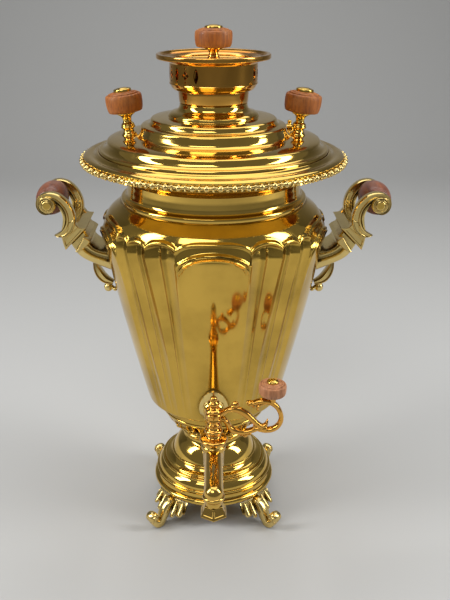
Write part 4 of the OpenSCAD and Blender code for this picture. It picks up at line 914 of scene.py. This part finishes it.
def cap_pieces():
    plate = lathe([
        (24.7, 486.3), (25.95, 486.3), (25.95, 493.2, 0.1), (37.2, 493.3, 0.3), (37.6, 494, 0.3),
        (37.5, 495.5, 0.3), (36.2, 495.8, 0.3), (35.2, 495.2, 0.4), (17.2, 495.1, 0.5), (15.4, 496.3, 0.6),
        (7, 496.9, 0.3), (3.05, 496.9), (3.05, 493.3), (24.7, 493.3)
    ], 0.2, 1.5, 160, ring=True)
    finished(plate, "cap_plate")
    stem_z = 496.95
    stem = lathe([
        (0, -5.4), (4.6, -5.4, 0.2), (4.6, -3.8, 0.2), (3, -3.8, 0.1), (3, 0, 0.1), (6.2, 0, 0.3),
        (6.4, 0.9, 0.4), (5.2, 1.9, 0.4), (5.1, 3.2, 0.5), (4.4, 4.4, 0.8), (4.5, 6.0, 0.8),
        (5.3, 7.0, 0.5), (8.2, 8.8, 0.5), (8.5, 9.6, 0.3), (8.3, 10, 0.2), (2.4, 10, 0.1), (2.4, 18, 0.2),
        (0, 18)
    ], 0.4, 0.9, 56)
    placed(stem, move(z=stem_z), "cap_stem")
    placed(knob_shape(KNOB_R, CAP_KNOB_H), move(z=stem_z + 10 + SEAT), "cap_knob")
    placed(button_shape(BUTTON_R), move(z=stem_z + 10 + CAP_KNOB_H + 2 * SEAT), "cap_button")


# ---------------------------------------------------------------- tap

TAP_Z, TAP_REACH, SPOUT_LEN, SPOUT_R, BARREL_H = 163.6, 160, 62, 8.4, 29.6
TAP_FACE = wall_r(TAP_Z)
SPOUT_END = TAP_REACH + SPOUT_LEN
MOUTH_Z = TAP_Z - 20
BARREL_Z = TAP_Z - BARREL_H / 2 - 2.5
BARREL_TOP = BARREL_Z + BARREL_H
SKIRT_Z = BARREL_TOP + 0.25
# Share of the rosette's rows on its ribbed face; the rest go down its edge
BRIM = 0.82


def rosette():
    """Oval boss with shell ribs that spread upward and outward from its foot."""
    lean = math.atan((wall_r(TAP_Z + 5) - wall_r(TAP_Z - 5)) / 10)
    wide, tall = 15, 23

    def rib_at(x, y):
        return abs(math.cos(6.5 * math.atan2(x, y + 27)))

    def face(u, v):
        a = TURN * v
        rho = min(u / BRIM, 1)
        x, y = wide * math.cos(a), tall * math.sin(a)
        scallop = 0.93 + 0.07 * rib_at(x, y)
        ribs = rib_at(rho * x, rho * y) ** 0.8
        dome = 8.6 * math.sqrt(max(0, 1 - (0.86 * rho) ** 2)) - 2.2
        rise = dome + 1.7 * (ribs - 0.6) * min(1, 1.6 * rho)
        if u > BRIM:
            rise = dome * (1 - (u - BRIM) / (1 - BRIM)) - 5.5 * (u - BRIM) / (1 - BRIM)
        return Vector((rho * scallop * x, rho * scallop * y, rise))

    shell = sheet_of(26, 192, face, fill=True)
    at = move(0, -TAP_FACE, TAP_Z) @ turn(90 + math.degrees(lean), "X")
    seat = lathe([
        (7.05, TAP_FACE - 1), (11.4, TAP_FACE - 1), (11.4, TAP_FACE + 8.2, 0.4), (11.0, TAP_FACE + 8.6, 0.3),
        (7.05, TAP_FACE + 8.6)
    ], 0.2, 2, 64, ring=True)
    both = joined((shell, at), (seat, move(z=TAP_Z) @ turn(90, "X")))
    finished(both, "tap_rosette", crease=30, finish=CAST)


def tap_piece():
    front = TAP_FACE + 8.65
    tube = eased([
        (4, TAP_FACE - 16), (7, TAP_FACE - 16, 0.2), (7, front, 0.1), (10.2, front, 0.4),
        (10.4, front + 1.6, 0.6), (8.9, front + 3.2, 0.6), (8.4, front + 5, 0.6)
    ], 0.3)
    tube += [(SPOUT_R, SPOUT_END - 3)] + arc(0, SPOUT_END, SPOUT_R, 0, 90, 10)[1:-1]
    tube += [(0.01, SPOUT_END + SPOUT_R), (0, SPOUT_END + SPOUT_R), (0, SPOUT_END - 4), (4, SPOUT_END - 4)]
    pipe = turned(dense(tube, 2, True)[:-1], 72)
    barrel = eased([
        (6.5, BARREL_Z), (8.4, BARREL_Z, 0.3), (9.0, BARREL_Z + 1.2, 0.3), (9.2, BARREL_Z + 3, 0.3),
        (9.7, BARREL_Z + 4.4, 0.4), (9.5, BARREL_Z + 6, 0.4), (10.0, BARREL_TOP - 8.4, 0.4),
        (11.2, BARREL_TOP - 7, 0.5), (11.3, BARREL_TOP - 3.4, 0.5), (10.4, BARREL_TOP - 2.8, 0.3),
        (10.5, BARREL_TOP - 0.4, 0.3), (10.3, BARREL_TOP, 0.2), (7.65, BARREL_TOP)
    ], 0.3)
    barrel = turned(dense(barrel, 1.5, True), 72)
    nozzle = eased([
        (4, MOUTH_Z + 0.4), (6.4, MOUTH_Z + 0.8, 0.2), (7, MOUTH_Z + 7.6, 0.3), (7.1, TAP_Z - 6.4, 0.6),
        (8.8, TAP_Z - 5.2, 0.5), (9.7, TAP_Z - 3.6, 0.6), (9.5, TAP_Z - 1.6, 0.6), (7.6, TAP_Z - 0.6, 0.5),
        (4, TAP_Z - 0.6)
    ], 0.3)
    nozzle = turned(dense(nozzle, 1.2, True), 64)

    def skirt(u, v):
        """Six flat sides with a raised frame, flaring to the mouth, then up the bore."""
        corner = 6 * v
        side = int(min(corner, 5.999))
        along = corner - side
        flare = [
            (0, 8.0, 9.0), (0.08, 8.2, 8.9), (0.16, 9.0, 8.0), (0.5, 11.4, 3.2), (0.62, 12.3, 1.6),
            (0.7, 12.7, 0.8), (0.74, 12.6, 0.1), (0.78, 12.2, 0), (0.84, 8.8, 0.0), (0.87, 8.2, 0.4),
            (1, 4, 1.6)
        ]
        radius, height = (between([(row[0], row[i]) for row in flare], u) for i in (1, 2))
        a0, a1 = math.radians(60 * side + 30), math.radians(60 * side + 90)
        p = Vector((math.cos(a0), math.sin(a0))).lerp(Vector((math.cos(a1), math.sin(a1))), along)
        dip = 0.55 if 0.12 < along < 0.88 and 0.2 < u < 0.56 else 0
        flat = p * (radius - dip)
        if u > 0.9:
            flat = flat.lerp(flat.normalized() * radius, (u - 0.9) / 0.1)
        return Vector((flat.x, flat.y, MOUTH_Z + height))

    mouth = sheet_of(50, 96, skirt)

    def leaf(u, v):
        """Pointed leaf in relief along the spout."""
        t = 0.001 + 0.998 * u
        half = 6.0 * math.sin(math.pi * t ** 1.35) ** 0.8
        a = TURN * v
        x = half * math.cos(a)
        vein = 0.5 * ridge(x, 0.8) + 0.3 * math.cos(2.2 * x)
        lift = (1.15 + vein) * max(0, math.sin(a)) ** 0.7 * math.sin(math.pi * t) ** 0.5 - 0.8
        r = SPOUT_R + lift
        b = x / SPOUT_R
        return Vector((r * math.sin(b), -(SPOUT_END - 34 + 30 * t), TAP_Z + r * math.cos(b)))

    relief = sheet_of(40, 40, leaf, fill=True)
    body = joined((pipe, move(z=TAP_Z) @ turn(90, "X")), (barrel, move(0, -TAP_REACH, 0)),
                  (nozzle, move(0, -SPOUT_END, 0)), (mouth, move(0, -SPOUT_END, 0)), relief)
    finished(body, "tap_body", crease=30, finish=TAP_BRASS)


# The scroll's thickness, its knob's distance from the axis, the height of the knob's seat, and the knob's own
KEY_T, KEY_ARM, KEY_SEAT, KEY_KNOB_H = 6.5, 52.5, 48.4, 12
# Lower end of the plug's thread
PLUG_END = 138.3


def key_pieces():
    """The key's plug and ringed column, then its scroll: x runs from the key's axis and z from its skirt."""
    z = SKIRT_Z
    stem = [
        (0, PLUG_END), (3.4, PLUG_END, 0.2), (3.4, BARREL_Z, 0.1), (6.4, BARREL_Z, 0.2),
        (7.55, BARREL_TOP - 0.4, 0.1), (7.4, BARREL_TOP + 0.1, 0.1), (7.4, z, 0.1)
    ]
    column = [
        (11.0, 0, 0.3), (12.4, 0.5, 0.5), (12.9, 1.7, 0.8), (12.3, 3.2, 0.6), (9.4, 4.4, 0.8),
        (6.6, 5.4, 0.8), (6.0, 7.4, 0.5), (6.2, 8.4, 0.3), (7.8, 9.4, 0.8), (8.2, 10.9, 0.8),
        (7.8, 12.4, 0.8), (6.0, 13.3, 0.4), (5.2, 14.6, 0.8), (5.0, 16.2, 0.4), (5.8, 16.8, 0.3),
        (6.2, 17.6, 0.3), (5.8, 18.5, 0.3), (4.9, 19, 0.4), (4.6, 21.6, 0.5), (4.6, 29.2, 0.3),
        (5.4, 29.6, 0.3), (7.0, 30.6, 0.8), (7.6, 32, 0.8), (7.0, 33.4, 0.8), (5.6, 34.2, 0.5),
        (4.0, 35, 0.6), (3.7, 36, 0.6), (4.8, 37, 0.6), (5.7, 38.8, 0.9), (5.2, 40.8, 0.8),
        (3.8, 41.8, 0.5), (3.4, 42.8, 0.4), (3.4, 43.8, 0.8), (2.6, 45.6, 0.9), (0, 46.2)
    ]
    plug = stem + [(r, z + up, *own) for r, up, *own in column]
    placed(lathe(plug, 0.4, 0.8, 64), move(0, -TAP_REACH, 0), "tap_key")

    def bar(*path):
        return rib([p if len(p) == 4 else (*p, KEY_T) for p in path], power=2.6, around=18, n=6)

    upper = bar(
        (4.6, 26.6, 4.6), (9.6, 30.8, 4.2), (16, 33.4, 4.6), (22.6, 32.4, 5.6), (29.4, 28.2, 6.2),
        (35, 22.6, 5.6), (40, 17.6, 5.2), (44.2, 15.2, 4.6), (47.2, 17.0, 3.6, 5.6), (48.6, 20.6, 2.0, 4.4),
        (48.9, 23.6, 0.3, 0.4)
    )
    lower = bar(
        (4.8, 23.4, 4.0), (9.2, 22.8, 4.4), (12.2, 19.2, 4.8), (14.4, 14.4, 5.2), (18.6, 11.0, 5.4),
        (24, 9.7, 5.2), (29.6, 9.8, 4.6), (35, 11.4, 4.4), (40, 13.4, 4.6), (44, 13.6, 4.6)
    )
    loop = bar(
        (41, 13.0, 5.0), (46.8, 11.7, 5.0), (53, 12.3, 4.8), (57.8, 15.4, 4.6), (60.5, 20.2, 4.4),
        (61, 25.6, 4.4), (59.4, 31.4, 4.4), (56.2, 36.6, 4.6), (51.4, 40.2, 5.0), (45.6, 41.6, 5.0),
        (40, 41.0, 4.4), (35.6, 39.6, 4.0, 6.4), (32.6, 39.4, 4.6, 6.8), (30.6, 40.6, 2.6, 5.0),
        (30.2, 41.8, 0.5, 2.0)
    )
    curl = bar(
        (46.4, 40.6, 3.6), (42.4, 38.8, 3.0), (39.8, 36.2, 2.6), (39.6, 33.6, 2.4, 5.4),
        (40.8, 32.4, 0.6, 3.0)
    )
    hook = bar((36.6, 12.4, 3.0, 5.6), (37.4, 16.6, 2.6, 5.0), (36.0, 19.8, 0.4, 2.0))
    parts = [(shape, Matrix()) for shape in (upper, lower, loop, curl, hook)]
    buds = [(19.8, 37.6, -20, 3.2, 3.6), (17.2, 35.6, 35, 2.2, 2.8), (29.2, 6.8, 10, 2.6, 3.0),
            (25.6, 7.2, 50, 1.8, 2.2), (32.6, 8.2, -45, 1.8, 2.4), (36, 36.6, 0, 1.4, 1.6)]
    for x, h, tilt, wide, tall in buds:
        bud = ball(1, squeeze=(wide, 3.0, tall), v=12)
        parts.append((bud, move(x, 0, h) @ turn(tilt, "Y")))
    parts.append((ball(1, (45.8, 0, 13.4), (3.6, 3.8, 3.4), 18, 12), Matrix()))
    wrap = lathe([
        (4.65, 21.8), (6.6, 21.8, 0.4), (7.3, 23, 0.6), (6.5, 24.4, 0.4), (6.5, 26.8, 0.4), (7.3, 28.2, 0.6),
        (6.6, 29.4, 0.4), (4.65, 29.4)
    ], 0.3, 1, 56, ring=True)
    seat = lathe([
        (0, 38.6), (3.4, 38.6, 0.2), (3.2, 41, 0.3), (3.6, 44.4, 0.6), (5.2, 46.6, 0.5), (5.9, 47.4, 0.4),
        (5.8, 48.35, 0.2), (2.4, 48.4, 0.1), (2.4, 56.2, 0.2), (0, 56.4)
    ], 0.3, 1, 40)
    parts += [(wrap, Matrix()), (seat, move(x=KEY_ARM))]
    at = move(0, -TAP_REACH, z)
    finished(joined(*((shape, at @ matrix) for shape, matrix in parts)), "key_scroll", crease=35)
    top = move(KEY_ARM, -TAP_REACH, z + KEY_SEAT)
    placed(knob_shape(12.6, KEY_KNOB_H), top @ move(z=SEAT), "key_knob", finish=KEY_WOOD)
    placed(button_shape(5.29), top @ move(z=KEY_KNOB_H + 2 * SEAT), "key_button")


# ---------------------------------------------------------------- handles

GRIP_X, GRIP_Z, GRIP_LEN = 163, 361.8, 43.4
ARM_Y = GRIP_LEN / 2 + 5.05


def from_grip(*points):
    """Points given from the grip's axis, in place."""
    return [(GRIP_X + p[0], GRIP_Z + p[1]) + tuple(p[2:]) for p in points]


BELLY_TOP = smooth_line(from_grip(
    (-34.6, -34.6), (-37.6, -39.6), (-39.2, -43.6), (-43.4, -47.4), (-50, -50), (-66, -52.6)
), 6)
BELLY_LOW = smooth_line(from_grip(
    (-24.6, -47.4), (-21.4, -50.2), (-23.4, -56.0), (-30.4, -61.8), (-43.2, -68), (-66, -77.8)
), 6)
# Half the bracket's outline: (share from low line to top line, share of its half width, step outward)
BELLY_SIDE = [
    (1, 0, 0), (1, 0.45, 0), (1, 0.8, 0), (0.985, 0.92, 0), (0.95, 0.99, 0.2), (0.9, 1, 0.9), (0.84, 1, 1.1),
    (0.79, 1, 0.6), (0.74, 1, -0.8), (0.66, 1, -2.6), (0.5, 1, -3.6), (0.3, 1, -3.8), (0.14, 1, -3.0),
    (0.07, 1, -1.2), (0.02, 1, 0.4), (-0.03, 1, 1.1), (-0.09, 1, 0.9), (-0.14, 1, 0), (-0.35, 0.99, 0),
    (-0.55, 0.96, 0), (-0.72, 0.89, 0), (-0.85, 0.77, 0), (-0.94, 0.6, 0), (-0.985, 0.36, 0), (-1, 0.14, 0),
    (-1, 0, 0)
]
BELLY_SIDE += [(a, -o, d) for a, o, d in reversed(BELLY_SIDE[1:-1])]


def bracket(u, v):
    """From the calyx into the body: concave above, a full belly below, a sunk channel between two rims."""
    i = min(round(u * (len(BELLY_TOP) - 1)), len(BELLY_TOP) - 1)
    across, out, step = BELLY_SIDE[round(v * len(BELLY_SIDE)) % len(BELLY_SIDE)]
    half = 20.4 + 7.6 * max(0, 1 - u / 0.42) ** 1.6
    step *= min(1, u / 0.16)
    t = (1 + across) / 2
    y = math.copysign(half * abs(out) + step, out) if out else 0
    x, z = Vector(BELLY_LOW[i]).lerp(Vector(BELLY_TOP[i]), t)
    return Vector((x, y, z))


def handle_shape():
    """The right handle: two scrolled arms on a bordered collar, a flared calyx and a round belly."""
    band = rib(from_grip(
        (-3, -8.9, 0.5, 6), (2.8, -9.2, 1.6, 8), (7.6, -6.2, 2.0, 8.8), (9.7, -0.6, 2.6, 9.2),
        (8.2, 5.6, 3.4, 9.6), (3.2, 9.2, 4.6, 9.8), (-3, 9.8, 5.8, 10), (-9.6, 7.7, 7.2, 10),
        (-15.4, 3.0, 7.8, 10), (-19.9, -3.6, 8.2, 10), (-22.0, -11, 8.8, 10), (-21.7, -18.6, 9.4, 10),
        (-18.8, -25.0, 9.2, 10), (-14.0, -29.2, 7.2, 9.8), (-9.0, -31.0, 4.2, 8.6), (-4.6, -31.4, 0.5, 4)
    ), n=6, section=BORDERED)
    fringe = rib(from_grip(
        (-8.4, 1.4, 0.6, 3), (-11.4, -1.6, 2.4, 7), (-14.6, -6.6, 3.4, 8.2), (-15.9, -12.4, 3.6, 8.4),
        (-15.2, -18.6, 3.0, 8.2), (-13.6, -23.4, 1.8, 7), (-12.2, -26.4, 0.8, 4)
    ), power=3.4, around=20, n=5)
    foot = slab(from_grip(
        (-25.4, -14.4), (-26.4, -19), (-29.4, -22.8), (-26.6, -24.6), (-12.6, -36.2), (-11.4, -31.0),
        (-15.2, -29.6), (-18.6, -25), (-19.6, -18)
    ), 8.4, 0.6)
    boss = lathe([
        (2.65, -4.8), (7.6, -4.8, 0.6), (8.4, -4.0, 0.8), (8.4, 4.1, 0.6), (7.6, 4.9, 0.5), (6.9, 5.0, 0.3),
        (6.5, 4.4, 0.25), (6.1, 5.6, 0.4), (5.3, 5.9, 0.3), (4.9, 5.1, 0.25), (4.5, 6.4, 0.4),
        (3.5, 6.9, 0.4), (2.65, 6.4, 0.3)
    ], 0.3, 0.8, 56, ring=True)
    coil = [(7.9 * (1 - a / 1500), math.radians(a)) for a in range(20, 400, 20)]
    curl = rib([(r * math.cos(a), r * math.sin(a), 1.7, 2.6) for r, a in coil], power=2.2, around=10, n=2)
    parts = []
    for s in (-1, 1):
        here = move(y=s * ARM_Y)
        parts += [(band, here), (fringe, here), (foot, here)]
        at = move(GRIP_X, s * ARM_Y, GRIP_Z)
        parts += [(boss, at @ turn(-90 * s, "X")), (curl, at @ move(y=s * 4.6))]

    parts.append(slab(from_grip(
        (-36.4, -23.9), (-31.6, -23.6), (-27.0, -22.0), (-12.3, -35.4), (-13.2, -40.4), (-14.9, -46.2)
    ), 2 * ARM_Y + 7.4, 0.6, 1.3, 1.1))
    parts.append(slab(from_grip((-33, -29), (-20, -42), (-24, -49), (-37, -36)), 46, 0.8))
    parts.append(slab(from_grip(
        (-40.2, -37.6), (-37.4, -35.2), (-34.0, -33.3), (-31.9, -36.4), (-29.6, -40.6), (-27, -44.8),
        (-24.4, -48.4), (-26.6, -49.2), (-30.4, -47), (-34.4, -43.8), (-37.6, -40.6)
    ), 2 * ARM_Y + 6.6, 0.6))
    parts.append(sheet_of(30, len(BELLY_SIDE), bracket, fill=True))
    leaf = rib(from_grip(
        (-38.6, -68, 3, 10), (-40.4, -75.4, 6.4, 13), (-43.8, -82.6, 7.8, 14.4), (-49, -88.4, 6.8, 13.4),
        (-57, -92, 3, 9)
    ), n=6, section=BORDERED)
    side = [(0, -4.6), (2.6, -4.4, 1.2), (4.4, -2, 1.6)]
    bead = lathe(side + [(4.6, 0, 1.6)] + mirrored(side), 1, 0.8, 32)
    tail = rib(from_grip((-50, -89, 7, 8), (-51.4, -94, 5.4, 7), (-57, -99, 3, 6)), 2.4, 14, 4)
    drop = ball(2.4, (GRIP_X - 58.6, 0, GRIP_Z - 99.6), (1.2, 1.6, 1))
    parts += [leaf, (bead, move(GRIP_X - 51.4, 0, GRIP_Z - 97.6)), drop, tail]
    return joined(*parts)


def grip_shape():
    half = GRIP_LEN / 2 - 0.05
    side = [
        (2.65, -half), (11.4, -half, 0.5), (12.6, 1.4 - half, 0.5), (12.9, 3 - half, 0.4),
        (12.2, 3.8 - half, 0.3), (12.9, 4.8 - half, 0.4)
    ]
    middle = bow((13.6, 5.6 - half), (17.9, 0), (13.6, half - 5.6), 18)
    line = eased(side, 0.4)[:-1] + middle + eased([(13.6, half - 5.6)] + mirrored(side), 0.4)[1:]
    return turned(dense(line, 1.2, True), 72)


def handles():
    shape = handle_shape()
    grip = grip_shape()
    for side, matrix in (("right", Matrix()), ("left", flip())):
        placed(shape, matrix, "handle_" + side, crease=35)
        placed(grip, matrix @ move(GRIP_X, 0, GRIP_Z) @ turn(90, "X"), "grip_" + side)


# ---------------------------------------------------------------- make everything

for make in (base_piece, feet, collar_piece, body_piece, neck_pieces, lid_piece, lid_knobs,
             crown_pieces, cap_pieces, rosette, tap_piece, key_pieces, handles):
    make()

for node, obj in frame["nodes"].items():
    for slot in obj.material_slots:
        slot.material = BRASS if node.startswith("grip_rod") else FINISHES[SLOT_OF[node]]

# ---------------------------------------------------------------- floor and light

# A pale sheet that lies flat and sweeps up behind, in metres
FLOOR_NEAR, FLOOR_RUN, FLAT, SWEEP = -4.0, 9.4, 1.6, 0.8
floor_mesh = bmesh.new()
bmesh.ops.create_grid(floor_mesh, x_segments=4, y_segments=90, size=1)
for vert in floor_mesh.verts:
    run = (vert.co.y + 1) / 2 * FLOOR_RUN + FLOOR_NEAR
    bend = min(max(run - FLAT, 0) / SWEEP, math.pi / 2)
    y = min(run, FLAT) + SWEEP * math.sin(bend)
    z = SWEEP * (1 - math.cos(bend)) + max(0, run - FLAT - SWEEP * math.pi / 2)
    vert.co = (vert.co.x * 5, y, z)
mesh = bpy.data.meshes.new("floor")
floor_mesh.to_mesh(mesh)
mesh.shade_smooth()
pale = Finish("pale floor")
pale.surface(Base_Color=(0.47, 0.47, 0.46, 1), Roughness=0.8)
mesh.materials.append(pale.material)
floor = bpy.data.objects.new("floor", mesh)
bpy.context.scene.collection.objects.link(floor)


def softbox(name, where, aim, wide, tall, power):
    lamp = bpy.data.lights.new(name, "AREA")
    lamp.shape = "RECTANGLE"
    lamp.size, lamp.size_y = wide, tall
    lamp.energy = power
    obj = bpy.data.objects.new(name, lamp)
    obj.location = where
    obj.rotation_euler = (Vector(aim) - Vector(where)).to_track_quat("-Z", "Y").to_euler()
    bpy.context.scene.collection.objects.link(obj)


softbox("left softbox", (-1.25, -0.35, 1.0), (0, -0.05, 0.2), 0.35, 1.1, 15)
softbox("right softbox", (1.25, -0.25, 0.95), (0, -0.05, 0.2), 0.35, 1.1, 13)
softbox("front softbox", (-0.55, -1.5, 2.1), (0, 0, 0.3), 1.3, 0.8, 13)
softbox("top softbox", (0.1, 0.55, 1.95), (0, 0.2, 0.3), 2.0, 2.0, 22)

world = bpy.data.worlds.new("room")
bpy.context.scene.world = world
world.use_nodes = True
sky = world.node_tree.nodes["Background"]
sky.inputs["Color"].default_value = (0.50, 0.50, 0.50, 1)
sky.inputs["Strength"].default_value = 0.35

bpy.context.scene.view_settings.view_transform = "Standard"
